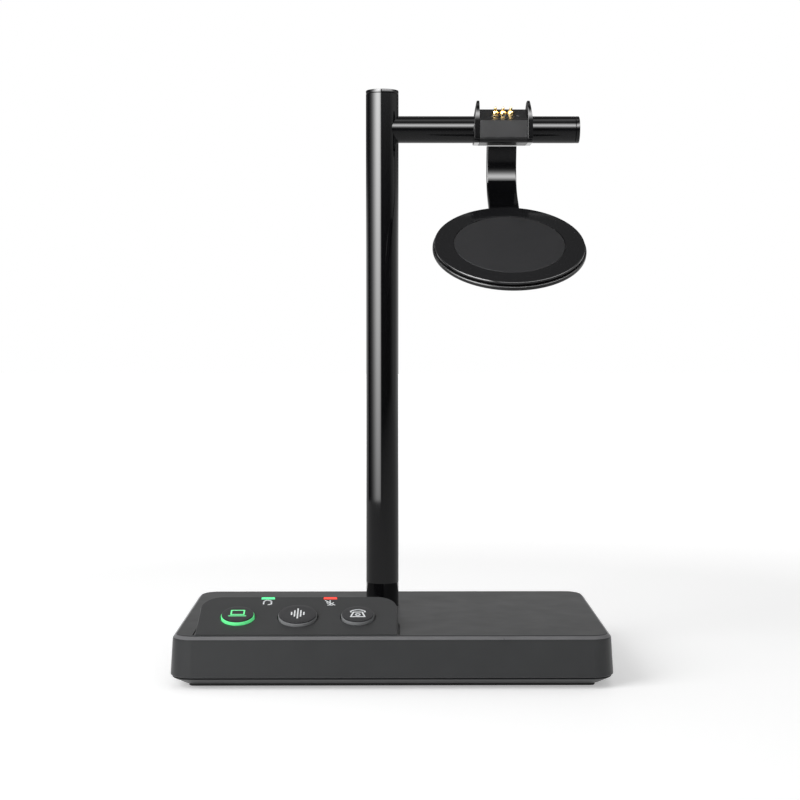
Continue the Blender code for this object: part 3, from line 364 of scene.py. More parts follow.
def rest_point(up, out):
    """(Y, Z) of a point up the rest's slope and out from its face."""
    return (REST_Y + up * math.cos(REST_TILT) - out * math.sin(REST_TILT),
            REST_Z + up * math.sin(REST_TILT) + out * math.cos(REST_TILT))


def neck_line():
    """The neck's front face in (Y, Z): down from the cradle and on under the rest."""
    top = (NECK_TOP_Y, CRADLE_BOTTOM - GAP)
    waist = (17.7 * MM, 180.3 * MM)
    run_in = rest_point(SHELL_RADIUS + 5.6 * MM, -2.9 * MM)
    under = rest_point(SHELL_RADIUS - 3.0 * MM, -REST_THICKNESS - GAP)
    end = rest_point(NECK_END, -REST_THICKNESS - GAP)
    slope_y, slope_z = math.cos(REST_TILT), math.sin(REST_TILT)
    reach = 8.5 * MM
    line = bezier_points(top, (top[0] + 0.4 * MM, top[1] - 3.0 * MM),
                         (waist[0], waist[1] + 3.0 * MM), waist, 12)
    line += bezier_points(waist, (waist[0], waist[1] - reach),
                          (run_in[0] + reach * slope_y, run_in[1] + reach * slope_z),
                          run_in, 40)
    line += bezier_points(run_in, (run_in[0] - 3.0 * MM * slope_y, run_in[1] - 3.0 * MM * slope_z),
                          (under[0] + 3.0 * MM * slope_y, under[1] + 3.0 * MM * slope_z),
                          under, 10)
    return line + [under, end]


# ================================================================ materials
def make_surface(name, colour, roughness, grain=900.0, bump=0.00002, metallic=0.0,
                 spread=0.15, rough_spread=0.06, glow=0.0, coat=0.0, specular=0.5):
    """A moulded, painted or metal surface with fine grain in its colour, gloss and relief."""
    material = bpy.data.materials.new(name)
    material.use_nodes = True
    nodes, links = material.node_tree.nodes, material.node_tree.links
    shader = nodes["Principled BSDF"]
    place = nodes.new("ShaderNodeTexCoord")
    fine = nodes.new("ShaderNodeTexNoise")
    fine.inputs["Scale"].default_value = grain
    fine.inputs["Detail"].default_value = 3.0
    broad = nodes.new("ShaderNodeTexNoise")
    broad.inputs["Scale"].default_value = grain / 25
    broad.inputs["Detail"].default_value = 2.0
    for texture in (fine, broad):
        links.new(place.outputs["Object"], texture.inputs["Vector"])
    tint = nodes.new("ShaderNodeMix")
    tint.data_type = "RGBA"
    tint.inputs["A"].default_value = (*(c * (1 - spread) for c in colour), 1.0)
    tint.inputs["B"].default_value = (*(min(1.0, c * (1 + spread)) for c in colour), 1.0)
    links.new(broad.outputs["Fac"], tint.inputs["Factor"])
    links.new(tint.outputs["Result"], shader.inputs["Base Color"])
    gloss = nodes.new("ShaderNodeMapRange")
    gloss.inputs["To Min"].default_value = max(0.0, roughness - rough_spread)
    gloss.inputs["To Max"].default_value = roughness + rough_spread
    links.new(broad.outputs["Fac"], gloss.inputs["Value"])
    links.new(gloss.outputs["Result"], shader.inputs["Roughness"])
    if bump:
        relief = nodes.new("ShaderNodeBump")
        relief.inputs["Distance"].default_value = bump
        relief.inputs["Strength"].default_value = 0.6
        links.new(fine.outputs["Fac"], relief.inputs["Height"])
        links.new(relief.outputs["Normal"], shader.inputs["Normal"])
    shader.inputs["Metallic"].default_value = metallic
    shader.inputs["Specular IOR Level"].default_value = specular
    shader.inputs["Coat Weight"].default_value = coat
    if glow:
        shader.inputs["Emission Color"].default_value = (*colour, 1.0)
        shader.inputs["Emission Strength"].default_value = glow
    return material


BASE_BLACK = make_surface("base_black", (0.022, 0.023, 0.024), 0.40, 2600, 0.000012,
                          specular=0.3)
# A lighter grey copy of the base's black for the chamfer along the top edge: a painted highlight.
CHAMFER_PAINTED_HIGHLIGHT = make_surface("chamfer_painted_highlight", (0.13, 0.13, 0.135), 0.30, 2600, 0.00001)
CONSOLE_BLACK = make_surface("console_black", (0.026, 0.027, 0.028), 0.38, 2600, 0.000012,
                             specular=0.4)
GLOSS_BLACK = make_surface("gloss_black", (0.0035, 0.0035, 0.004), 0.05, 300, 0.0,
                           rough_spread=0.015)
CRADLE_BLACK = make_surface("cradle_black", (0.006, 0.006, 0.0065), 0.32, 2600, 0.000010)
CAP_BLACK = make_surface("cap_black", (0.018, 0.018, 0.020), 0.35, 3200, 0.000008)
RING_BLACK = make_surface("ring_black", (0.010, 0.010, 0.011), 0.10, 600, 0.0,
                          rough_spread=0.02)
PAD_BLACK = make_surface("pad_black", (0.006, 0.006, 0.0065), 0.60, 3400, 0.00003,
                         specular=0.15)
RUBBER = make_surface("rubber", (0.010, 0.010, 0.010), 0.8, 1800, 0.00004)
STEEL = make_surface("steel", (0.50, 0.50, 0.52), 0.32, 1500, 0.00001, metallic=1.0)
GOLD = make_surface("gold", (0.86, 0.60, 0.24), 0.22, 2500, 0.000005, metallic=1.0)
BOARD_GREEN = make_surface("board_green", (0.02, 0.16, 0.06), 0.45, 1200, 0.00002)
RING_GREY = make_surface("ring_grey", (0.22, 0.225, 0.23), 0.35, 2000, 0.000005)
RING_GREEN = make_surface("ring_green", (0.13, 0.82, 0.28), 0.35, 2000, 0.000005, glow=0.45)
LIGHT_GREEN = make_surface("light_green", (0.10, 0.80, 0.30), 0.3, 2000, 0.0, glow=0.9)
LIGHT_RED = make_surface("light_red", (0.85, 0.05, 0.03), 0.3, 2000, 0.0, glow=0.9)
INK_WHITE = make_surface("ink_white", (0.72, 0.74, 0.75), 0.5, 2000, 0.0, glow=0.15)
INK_GREEN = make_surface("ink_green", (0.14, 0.80, 0.30), 0.5, 2000, 0.0, glow=0.5)

NODE_FINISH = {
    "base_black": BASE_BLACK, "gloss_black": GLOSS_BLACK, "satin_black": CRADLE_BLACK,
    "rubber": RUBBER, "pad_black": PAD_BLACK, "steel": STEEL, "gold": GOLD,
    "board_green": BOARD_GREEN, "ring_grey": RING_GREY, "ring_green": RING_GREEN,
    "led_green": LIGHT_GREEN, "led_red": LIGHT_RED,
}
NODE_SLOT = {row["node"]: row["material_slot"] for row in frame["record"]["subparts"]}
for node_name, node_object in frame["nodes"].items():
    node_object.data.materials.clear()
    node_object.data.materials.append(NODE_FINISH[NODE_SLOT[node_name]])

# ================================================================ making pieces
STILL = "stand"
PANEL_FRAME = (Matrix.Translation((0, CONSOLE_FRONT, TOP_HEIGHT))
               @ Matrix.Rotation(CONSOLE_SLOPE, 4, "X"))
PLATE_FRAME = (Matrix.Translation((CRADLE_X, CRADLE_FRONT, CRADLE_LIP_Z))
               @ Matrix.Rotation(PLATE_TILT, 4, "X"))
REST_FRAME = (Matrix.Translation((CRADLE_X, REST_Y, REST_Z))
              @ Matrix.Rotation(REST_TILT, 4, "X"))
IN_PLACE = Matrix.Identity(4)


def at(x, y, z):
    return Matrix.Translation((x, y, z))


def settle(piece):
    """Bakes the modifiers of a piece into its mesh."""
    graph = bpy.context.evaluated_depsgraph_get()
    mesh = bpy.data.meshes.new_from_object(piece.evaluated_get(graph))
    piece.modifiers.clear()
    piece.data = mesh


def cut(piece, mesh, matrix=IN_PLACE):
    """Cuts the mesh, moved by the matrix, out of the piece."""
    mesh.transform(matrix)
    tool = bpy.data.objects.new("tool", mesh)
    bpy.context.scene.collection.objects.link(tool)
    modifier = piece.modifiers.new("shape", "BOOLEAN")
    modifier.operation = "DIFFERENCE"
    modifier.object = tool
    settle(piece)
    bpy.data.objects.remove(tool)


def make_piece(name, mesh, material, matrix=IN_PLACE):
    mesh.transform(matrix)
    mesh.materials.clear()
    mesh.materials.append(material)
    piece = bpy.data.objects.new(name, mesh)
    bpy.context.scene.collection.objects.link(piece)
    return piece


def finish_piece(piece, node, body=STILL, edge=0.15 * MM, segments=3, angle=28):
    """Rounds the sharp edges, shades the piece and lets it stand for its CAD node."""
    if edge:
        rounding = piece.modifiers.new("edges", "BEVEL")
        rounding.width = edge
        rounding.segments = segments
        rounding.limit_method = "ANGLE"
        rounding.angle_limit = math.radians(angle)
        rounding.miter_outer = "MITER_ARC"
        settle(piece)
    piece.data.shade_smooth()
    piece.data.set_sharp_from_angle(angle=math.radians(angle + 7))
    weighting = piece.modifiers.new("normals", "WEIGHTED_NORMAL")
    weighting.keep_sharp = True
    settle(piece)
    if node:
        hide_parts(node)
    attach(piece, body)
    return piece


# ================================================================ base
def build_base():
    inner = EDGE_CHAMFER - WALL
    soft = 0.35 * MM
    rings = [
        level(base_outline(inner), ROOF_UNDERSIDE),
        level(base_outline(WALL_SPREAD - WALL), WALL_BOTTOM),
        level(base_outline(WALL_SPREAD - soft), WALL_BOTTOM),
        level(base_outline(WALL_SPREAD), WALL_BOTTOM + soft),
        level(base_outline(EDGE_CHAMFER + soft * 0.06), TOP_HEIGHT - EDGE_CHAMFER - soft),
        level(base_outline(EDGE_CHAMFER - soft * 0.25), TOP_HEIGHT - EDGE_CHAMFER + soft * 0.6),
        level(base_outline(soft * 0.7), TOP_HEIGHT - soft * 0.6),
        level(base_outline(-soft), TOP_HEIGHT),
    ]
    housing = make_piece("base_shell", mesh_from_rings("base_shell", rings), BASE_BLACK)
    cut(housing, peg_mesh(POLE_RADIUS + FIT, ROOF_UNDERSIDE - ROOF, TOP_HEIGHT + ROOF, ROUND),
        at(POLE_X, POLE_Y, 0))
    cut(housing, mesh_from_rings("console_pocket", [
        level(console_outline(GAP), SEAT_Z), level(console_outline(GAP), TOP_HEIGHT + ROOF)]))
    window = rounded_outline(CONSOLE_LEFT + 3 * WALL, CONSOLE_RIGHT - 3 * WALL,
                             CONSOLE_FRONT + 2 * WALL, CONSOLE_BACK - WALL, WALL)
    cut(housing, mesh_from_rings("console_window", [level(window, ROOF_UNDERSIDE - ROOF),
                                                    level(window, TOP_HEIGHT)]))
    for x, width, height in ((USB_X, USB_WIDTH, USB_HEIGHT), (JACK_X, JACK_WIDTH, JACK_HEIGHT),
                             (POWER_X, POWER_SIDE, POWER_SIDE)):
        cut(housing, plain_box("port_cut", x - width / 2 - GAP, x + width / 2 + GAP,
                               INNER_BACK - WALL, TOP_DEPTH / 2 + WALL_SPREAD + WALL,
                               PORT_BOTTOM - GAP, PORT_BOTTOM + height + GAP))
    finish_piece(housing, "base_top_housing", edge=0.12 * MM, segments=2)
    # The sloping chamfer faces along the top edge take the lighter grey: a painted highlight along
    # the edge.
    housing.data.materials.append(CHAMFER_PAINTED_HIGHLIGHT)
    for face in housing.data.polygons:
        in_painted_highlight = TOP_HEIGHT - EDGE_CHAMFER < face.center.z < TOP_HEIGHT - 0.2 * MM
        if in_painted_highlight and 0.5 < face.normal.z < 0.95:
            face.material_index = 1

    lip_out = WALL_SPREAD - WALL - 2 * GAP
    edge = WALL_SPREAD - COVER_INSET
    cover = make_piece("base_cover", mesh_from_rings("base_cover", [
        level(base_outline(lip_out - LIP_WALL), FLOOR_TOP),
        level(base_outline(lip_out - LIP_WALL), COVER_TOP + COVER_LIP),
        level(base_outline(lip_out), COVER_TOP + COVER_LIP),
        level(base_outline(lip_out), COVER_TOP),
        level(base_outline(edge), COVER_TOP),
        level(base_outline(edge), COVER_TOP - GAP),
        level(base_outline(edge - COVER_TAPER), COVER_BOTTOM)]), BASE_BLACK)
    finish_piece(cover, "bottom_cover")
    inset = edge - COVER_TAPER - MAT_INSET
    mat = make_piece("base_mat", mesh_from_rings("base_mat", [
        level(base_outline(inset), 0.0), level(base_outline(inset), MAT_THICKNESS)]), RUBBER)
    finish_piece(mat, "rubber_base_mat")


# ================================================================ console
def on_panel(outline, sink):
    return [Vector((x, y, panel_height(y) - sink)) for x, y in outline]


def build_console():
    soft = PANEL_EDGE
    top = [(x, max(y, CONSOLE_FRONT)) for x, y in console_outline(-CONSOLE_DRAFT)]
    rings = [level(console_outline(0.0), SEAT_Z + FIT),
             level(console_outline(0.0), TOP_HEIGHT - FIT),
             on_panel(top, soft),
             on_panel(console_outline(-CONSOLE_DRAFT - soft * 0.3), soft * 0.3),
             on_panel(console_outline(-CONSOLE_DRAFT - soft), 0.0)]
    console = make_piece("console_shell", mesh_from_rings("console_shell", rings),
                         CONSOLE_BLACK)
    hollow = rounded_outline(CONSOLE_LEFT + WALL, CONSOLE_RIGHT - WALL,
                             CONSOLE_FRONT + 2.5 * WALL, CONSOLE_BACK - WALL,
                             CONSOLE_CORNER - WALL, WALL)
    cut(console, mesh_from_rings("console_hollow", [
        level(hollow, SEAT_Z - WALL), on_panel(hollow, PANEL / math.cos(CONSOLE_SLOPE))]))
    for _, x, radius in button_places():
        cut(console, peg_mesh(radius + SLIDE_GAP, -PANEL - WALL, BUTTON_PROUD, ROUND),
            PANEL_FRAME @ at(x, BUTTON_UP_SLOPE, 0))
    middle = led_middle()
    half_width, half_length = LED_WIDTH / 2 + FIT, LED_LENGTH / 2 + FIT
    for x in LED_X:
        cut(console, plain_box("led_cut", -half_width, half_width, -half_length, half_length,
                               -LED_DEPTH, WALL), PANEL_FRAME @ at(x, middle, 0))
    finish_piece(console, "control_console", edge=0.12 * MM, segments=2)


def led_middle():
    slope_length = (CONSOLE_BACK - CONSOLE_DRAFT - CONSOLE_FRONT) / math.cos(CONSOLE_SLOPE)
    return slope_length - PANEL_EDGE - LED_LENGTH / 2 - FIT


def build_led_windows():
    for name, x, material in (("link", LED_X[0], LIGHT_GREEN), ("mute", LED_X[1], LIGHT_RED)):
        outline = centred_outline(LED_WIDTH, LED_LENGTH, 0.3 * MM)
        mesh = mesh_from_rings("window", [level(outline, FIT - LED_DEPTH), level(outline, 0.0)])
        window = make_piece(name + "_window", mesh, material,
                            PANEL_FRAME @ at(x, led_middle(), 0))
        finish_piece(window, name + "_led_window", edge=0.1 * MM)


def build_buttons():
    """Each button: a slightly crowned dark cap on a ring, grey, or green and glowing on the laptop
    button.
    """
    face = BUTTON_PROUD - CAP_FACE
    for name, x, radius in button_places():
        place = PANEL_FRAME @ at(x, BUTTON_UP_SLOPE, 0)
        body = name + "_button"
        cap_radius = radius - CAP_OVERHANG
        cap = turned_mesh("cap", [
            (STEM_RADIUS, -STEM_LENGTH), (STEM_RADIUS, face), (cap_radius, face),
            (cap_radius, BUTTON_PROUD - CAP_FACE * 0.5),
            (cap_radius - 0.12 * MM, BUTTON_PROUD - CAP_FACE * 0.2),
            (cap_radius - 0.4 * MM, BUTTON_PROUD - 0.03 * MM), (cap_radius * 0.7, BUTTON_PROUD)],
            ROUND)
        finish_piece(make_piece(name + "_cap", cap, CAP_BLACK, place), name + "_button_cap",
                     body, edge=0)
        bore = STEM_RADIUS + FIT
        flange_top = -PANEL - GAP
        ring = turned_mesh("ring", [
            (bore, flange_top - FLANGE_THICKNESS),
            (radius + FLANGE_WIDTH, flange_top - FLANGE_THICKNESS),
            (radius + FLANGE_WIDTH, flange_top), (radius, flange_top),
            (radius, face - 0.25 * MM), (radius - 0.08 * MM, face - 0.1 * MM),
            (radius - 0.25 * MM, face - FIT / 2), (bore, face - FIT / 2)], ROUND, closed=True)
        finish = RING_GREEN if name == "laptop" else RING_GREY
        finish_piece(make_piece(name + "_ring", ring, finish, place), name + "_button_ring",
                     body, edge=0)


# ================================================================ printed signs
def strokes_mesh(lines, width, thickness=0.02 * MM):
    """Thin raised ink along lines of (x, y) points."""
    shape = bmesh.new()
    for line in lines:
        for start, end in zip(line, line[1:]):
            along = Vector((end[0] - start[0], end[1] - start[1], 0)).normalized()
            side = Vector((-along.y, along.x, 0)) * width / 2
            along = along * width * 0.35
            a, b = Vector((*start, 0)) - along, Vector((*end, 0)) + along
            low = [a - side, b - side, b + side, a + side]
            bottom = [shape.verts.new(p) for p in low]
            top = [shape.verts.new(p + Vector((0, 0, thickness))) for p in low]
            shape.faces.new(top)
            shape.faces.new(bottom[::-1])
            for i in range(4):
                j = (i + 1) % 4
                shape.faces.new((bottom[i], bottom[j], top[j], top[i]))
    mesh = bpy.data.meshes.new("strokes")
    shape.to_mesh(mesh)
    shape.free()
    return mesh


def arc_line(x, y, radius, start, end, steps=12):
    return [(x + radius * math.cos(math.radians(start + (end - start) * i / steps)),
             y + radius * math.sin(math.radians(start + (end - start) * i / steps)))
            for i in range(steps + 1)]


def scaled(lines):
    return [[(x * MM, y * MM) for x, y in line] for line in lines]


def add_sign(name, lines, width, material, place, body):
    sign = make_piece(name, strokes_mesh(scaled(lines), width * MM), material, place)
    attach(sign, body)


def build_signs():
    laptop, headset, phone = button_places()
    lift = BUTTON_PROUD + 0.005 * MM
    places = [PANEL_FRAME @ at(x, BUTTON_UP_SLOPE, lift) for _, x, _ in (laptop, headset, phone)]
    add_sign("sign_laptop", [[(-2.2, -0.7), (-2.2, 2.3), (2.2, 2.3), (2.2, -0.7), (-2.2, -0.7)],
                             [(-2.9, -1.7), (2.9, -1.7)]], 0.5, INK_GREEN, places[0],
             "laptop_button")
    bars = [[(1.05 * i, -half), (1.05 * i, half)] for i, half in
            zip((-2, -1, 0, 1, 2), (0.9, 2.1, 3.4, 2.1, 0.9))]
    add_sign("sign_sound", bars, 0.5, INK_WHITE, places[1], "headset_button")
    handset = arc_line(0, -0.6, 3.2, 140, 40)
    body = [[(-1.5, 0.9), (-2.4, -2.4), (2.4, -2.4), (1.5, 0.9), (-1.5, 0.9)],
            arc_line(0, -0.9, 0.7, 0, 360)]
    add_sign("sign_phone", [handset, [handset[0], (-2.4, 0.9)], [handset[-1], (2.4, 0.9)]] + body,
             0.55, INK_WHITE, places[2], "desk_phone_button")
    up = led_middle() - 3.3 * MM
    on_face = 0.005 * MM
    band = arc_line(0, 0, 1.35, 200, -20)
    add_sign("sign_headset", [band, [(-1.35, -0.4), (-1.35, -1.5)], [(1.35, -0.4), (1.35, -1.5)],
                              [(1.35, -1.5), (0.3, -2.0)]], 0.5, INK_WHITE,
             PANEL_FRAME @ at(LED_X[0], up + 0.4 * MM, on_face), STILL)
    add_sign("sign_microphone", [[(0, 1.5), (0, 0)], arc_line(0, 0.2, 1.15, 190, 350),
                                 [(0, -1.0), (0, -1.9)], [(-0.8, -1.9), (0.8, -1.9)],
                                 [(-1.7, 1.5), (1.7, -1.9)]], 0.42, INK_WHITE,
             PANEL_FRAME @ at(LED_X[1], up, on_face), STILL)


# ================================================================ pole and arm
def build_pole_and_arm():
    soft = 0.3 * MM
    inner = POLE_RADIUS - POLE_WALL
    top = POLE_TOP - POLE_CAP
    foot = at(POLE_X, POLE_Y, 0)
    pole = make_piece("pole_skin", turned_mesh("pole", [
        (inner, POLE_FOOT), (POLE_RADIUS, POLE_FOOT), (POLE_RADIUS, top - FIT),
        (POLE_RADIUS - FIT, top), (inner, top)], ROUND, closed=True), GLOSS_BLACK, foot)
    cut(pole, along_x(peg_mesh(HARNESS_HOLE, 0.0, 2 * POLE_RADIUS)), at(POLE_X, POLE_Y, ARM_Z))
    finish_piece(pole, "pole_tube", edge=0)
    cap = turned_mesh("cap", [
        (inner - FIT, top - CAP_PLUG), (inner - FIT, top + FIT), (POLE_RADIUS - FIT, top + FIT),
        (POLE_RADIUS, top + 2 * FIT), (POLE_RADIUS, POLE_TOP - soft),
        (POLE_RADIUS - 0.3 * soft, POLE_TOP - 0.3 * soft), (POLE_RADIUS - soft, POLE_TOP)], ROUND)
    finish_piece(make_piece("pole_cap_skin", cap, GLOSS_BLACK, foot), "pole_top_cap", edge=0)

    inner = ARM_RADIUS - ARM_WALL
    end = ARM_END - ARM_CAP - POLE_X
    axis = at(POLE_X, POLE_Y, ARM_Z)
    arm = make_piece("arm_skin", along_x(turned_mesh("arm", [
        (inner, POLE_RADIUS / 2), (ARM_RADIUS, POLE_RADIUS / 2), (ARM_RADIUS, end - FIT),
        (ARM_RADIUS - FIT, end), (inner, end)], ROUND, closed=True)), GLOSS_BLACK, axis)
    cut(arm, peg_mesh(POLE_RADIUS + FIT / 2, ARM_Z - 2 * ARM_RADIUS, ARM_Z + 2 * ARM_RADIUS,
                      ROUND), foot)
    slot_half = PIN_PITCH + BARREL_RADIUS + GAP
    cut(arm, plain_box("pin_slot", -slot_half, slot_half, PIN_UP_PLATE - PIN_SLOT_HALF,
                       PIN_UP_PLATE + PIN_SLOT_HALF, -BARREL_DEPTH, 0.0), PLATE_FRAME)
    finish_piece(arm, "arm_tube", edge=0)
    cap = along_x(turned_mesh("cap", [
        (inner - FIT, end - CAP_PLUG), (inner - FIT, end + FIT), (ARM_RADIUS - FIT, end + FIT),
        (ARM_RADIUS, end + 2 * FIT), (ARM_RADIUS, end + ARM_CAP - soft),
        (ARM_RADIUS - 0.3 * soft, end + ARM_CAP - 0.3 * soft),
        (ARM_RADIUS - soft, end + ARM_CAP)], ROUND))
    finish_piece(make_piece("arm_cap_skin", cap, GLOSS_BLACK, axis), "arm_end_cap", edge=0)


# ================================================================ cradle
def cut_pin_holes(piece):
    for step in (-1, 0, 1):
        cut(piece, peg_mesh(BARREL_RADIUS + FIT, -2 * BARREL_DEPTH, PLATE),
            PLATE_FRAME @ at(step * PIN_PITCH, PIN_UP_PLATE, 0))


def build_cradle():
    left = CRADLE_X - CRADLE_WIDTH / 2
    right = CRADLE_X + CRADLE_WIDTH / 2
    floor = -PLATE - FIT
    rim_end = PLATE_LENGTH - PLATE_RIM
    outline = cradle_underside() + [
        plate_point(0.0, 0.0), plate_point(PLATE_RIM, 0.0), plate_point(PLATE_RIM, floor),
        plate_point(rim_end, floor), plate_point(rim_end, 0.0), plate_point(PLATE_LENGTH, 0.0)]
    bore_start = at(left - CRADLE_WIDTH / 2, POLE_Y, ARM_Z)
    body = make_piece("cradle_skin", side_prism("cradle", outline, left + CHEEK + FIT,
                                                right - CHEEK - FIT), CRADLE_BLACK)
    cut(body, along_x(peg_mesh(ARM_RADIUS + FIT, 0.0, 2 * CRADLE_WIDTH, ROUND)), bore_start)
    cut_pin_holes(body)
    finish_piece(body, "cradle_body", edge=0.08 * MM, segments=2)

    half = CRADLE_WIDTH / 2 - CHEEK - FIT
    plate = make_piece("plate_skin", plain_box(
        "plate", -half, half, PLATE_RIM + FIT, rim_end - FIT, -PLATE, 0.0), CRADLE_BLACK,
        PLATE_FRAME)
    cut_pin_holes(plate)
    for step in (-1, 0, 1):
        cut(plate, peg_mesh(DIMPLE_RADIUS, -DIMPLE_DEPTH, PLATE),
            PLATE_FRAME @ at(step * DIMPLE_PITCH, DIMPLE_UP_PLATE, 0))
    finish_piece(plate, "contact_plate", edge=0.06 * MM, segments=2)

    for name, side, inner in (("left", -1, left + CHEEK), ("right", 1, right - CHEEK)):
        cheek = make_piece("cheek_skin_" + name, cheek_mesh(side, inner), GLOSS_BLACK)
        cut(cheek, along_x(peg_mesh(ARM_RADIUS + FIT, 0.0, 2 * CRADLE_WIDTH, ROUND)), bore_start)
        finish_piece(cheek, "cradle_cheek_" + name, edge=0.18 * MM, segments=3, angle=40)


def build_pins():
    bore = PIN_RADIUS + FIT
    tip = PIN_RADIUS * 0.55
    for name, step in (("left", -1), ("middle", 0), ("right", 1)):
        place = PLATE_FRAME @ at(step * PIN_PITCH, PIN_UP_PLATE, 0)
        barrel = turned_mesh("barrel", [
            (BARREL_RADIUS, -BARREL_DEPTH), (BARREL_RADIUS, FIT), (BARREL_FOOT, FIT),
            (BARREL_FOOT, 3 * FIT), (BARREL_RADIUS, BARREL_PROUD - FIT),
            (BARREL_RADIUS - FIT, BARREL_PROUD), (bore, BARREL_PROUD),
            (bore, -BARREL_DEPTH + 4 * FIT)], SMALL_ROUND)
        finish_piece(make_piece("barrel_skin_" + name, barrel, GOLD, place),
                     "pin_barrel_" + name, edge=0)
        plunger = turned_mesh("plunger", [
            (PIN_RADIUS, -PIN_TAIL), (PIN_RADIUS, PIN_PROUD - PIN_RADIUS),
            (PIN_RADIUS * 0.92, PIN_PROUD - 0.55 * PIN_RADIUS),
            (PIN_RADIUS * 0.75, PIN_PROUD - 0.2 * PIN_RADIUS), (tip, PIN_PROUD)], SMALL_ROUND)
        finish_piece(make_piece("plunger_skin_" + name, plunger, GOLD, place),
                     "pin_plunger_" + name, "pin_" + name, edge=0)


# ================================================================ neck and rest
def build_neck():
    line = [Vector((0.0, y, z)) for y, z in neck_line()]
    half, bevel = NECK_WIDTH / 2, NECK_BEVEL
    section = []
    for x, depth, start in ((half - bevel, bevel, -90), (half - bevel, NECK_THICKNESS - bevel, 0),
                            (bevel - half, NECK_THICKNESS - bevel, 90),
                            (bevel - half, bevel, 180)):
        section += [(x + bevel * math.cos(math.radians(start + 90 * i / 4)),
                     depth + bevel * math.sin(math.radians(start + 90 * i / 4)))
                    for i in range(5)]
    rings = []
    for i, point in enumerate(line):
        ahead = line[min(i + 1, len(line) - 1)] - line[max(i - 1, 0)]
        if i == 0:
            ahead = Vector((0, 0, -1))
        ahead.normalize()
        behind = Vector((0.0, -ahead.z, ahead.y))
        rings.append([Vector((CRADLE_X + x, 0, 0)) + point + behind * depth
                      for x, depth in section])
    neck = make_piece("neck_skin", mesh_from_rings("neck", rings), GLOSS_BLACK)
    for up in (-REST_SCREW_SPACING / 2, REST_SCREW_SPACING / 2):
        cut(neck, peg_mesh(REST_SCREW_SHANK + FIT, -3 * REST_THICKNESS, 0.0),
            REST_FRAME @ at(0, up, 0))
    finish_piece(neck, "neck_strip", edge=0)


def build_rest():
    rim = -RING_THICKNESS - SHADOW_GAP
    edge = 0.4 * MM
    step = SHELL_RADIUS - RING_RADIUS + GAP
    floor = rim - MAGNET_THICKNESS + GAP
    low = -REST_THICKNESS

    def quarter(radius, height, size, start):
        return [(radius + size * math.cos(math.radians(start + 90 * i / 5)),
                 height + size * math.sin(math.radians(start + 90 * i / 5))) for i in range(6)]

    shell = turned_mesh("shell", [(SHELL_RADIUS * 0.5, low)]
                        + quarter(SHELL_RADIUS - 1.5 * edge, low + 1.5 * edge, 1.5 * edge, -90)
                        + quarter(SHELL_RADIUS - edge, rim - edge, edge, 0)
                        + [(MAGNET_RADIUS + GAP, rim), (MAGNET_RADIUS + GAP, floor)], REST_ROUND)
    piece = make_piece("rest_shell_skin", shell, CRADLE_BLACK, REST_FRAME)
    for up in (-REST_SCREW_SPACING / 2, REST_SCREW_SPACING / 2):
        cut(piece, peg_mesh(REST_SCREW_SHANK + FIT, -2 * REST_THICKNESS, floor - 3 * FIT),
            REST_FRAME @ at(0, up, 0))
    finish_piece(piece, "rest_shell", edge=0)
    ring = turned_mesh("ring", [(PAD_RADIUS + FIT, -RING_THICKNESS),
                                (RING_RADIUS - step, -RING_THICKNESS),
                                (RING_RADIUS, -RING_THICKNESS + edge)]
                       + quarter(RING_RADIUS - edge, -edge, edge, 0)
                       + [(PAD_RADIUS + 3 * FIT, 0.0), (PAD_RADIUS + FIT, -FIT)],
                       REST_ROUND, closed=True)
    finish_piece(make_piece("rest_ring_skin", ring, RING_BLACK, REST_FRAME), "rest_ring", edge=0)
    pocket = PAD_RADIUS - GAP
    pad = turned_mesh("pad", [(pocket, rim + FIT), (PAD_RADIUS, rim + 2 * FIT),
                              (PAD_RADIUS, -PAD_RECESS - 2 * FIT),
                              (PAD_RADIUS - 2 * FIT, -PAD_RECESS)], REST_ROUND)
    finish_piece(make_piece("rest_pad_skin", pad, PAD_BLACK, REST_FRAME), "rest_pad", edge=0)


build_base()
build_console()
build_led_windows()
build_buttons()
build_signs()
build_pole_and_arm()
build_cradle()
build_pins()
build_neck()
build_rest()


# ================================================================ studio
AMBIENT = 0.35              # world light on the object
WHITE = (1.0, 1.0, 1.0, 1.0)

FLOOR_COLOUR = (0.86, 0.86, 0.86, 1.0)
FLOOR_HALF = 3.0
FLOOR_TOP_Z = -0.0002
FLOOR_LOW_Z = -0.002
FLOOR_GLOW = 0.35           # the floor's own light near the object
FLOOR_FAR_GLOW = 1.0        # and far from it, which keeps it white up to the horizon
FLOOR_GLOW_START = 0.25
FLOOR_GLOW_END = 0.9

SURROUND_RADIUS = 1.4
SURROUND_CENTRE_Z = 0.1
SURROUND_SIDES = 120
SURROUND_ROWS = range(-2, 60)
SURROUND_ROW_ANGLE = 1.5    # degrees

SOFTBOX_RADIUS = 0.28       # around the pole
SOFTBOX_TOP = 0.60
SOFTBOX_START = 2.0         # degrees to the left of the front
SOFTBOX_COLUMN_ANGLE = 1.9
SOFTBOX_COLUMNS = 60
SOFTBOX_ROWS = 24

KEY_PLACE = (-0.75, -0.55, 0.55)
KEY_TARGET = (0.0, 0.0, 0.1)
KEY_SIZE = (0.7, 0.9)
KEY_POWER = 9.0
TOP_PLACE = (0.1, 0.1, 1.1)
TOP_TARGET = (0.0, 0.0, 0.0)
TOP_SIZE = (0.9, 0.7)
TOP_POWER = 1.5

LENS = 75.0
SENSOR_WIDTH = 36.0
CAMERA_PLACE = (-1.72 * MM, -602.8 * MM, 125.6 * MM)
CAMERA_PITCH = math.radians(2.89)   # downward
CAMERA_YAW = math.radians(0.447)    # to the right


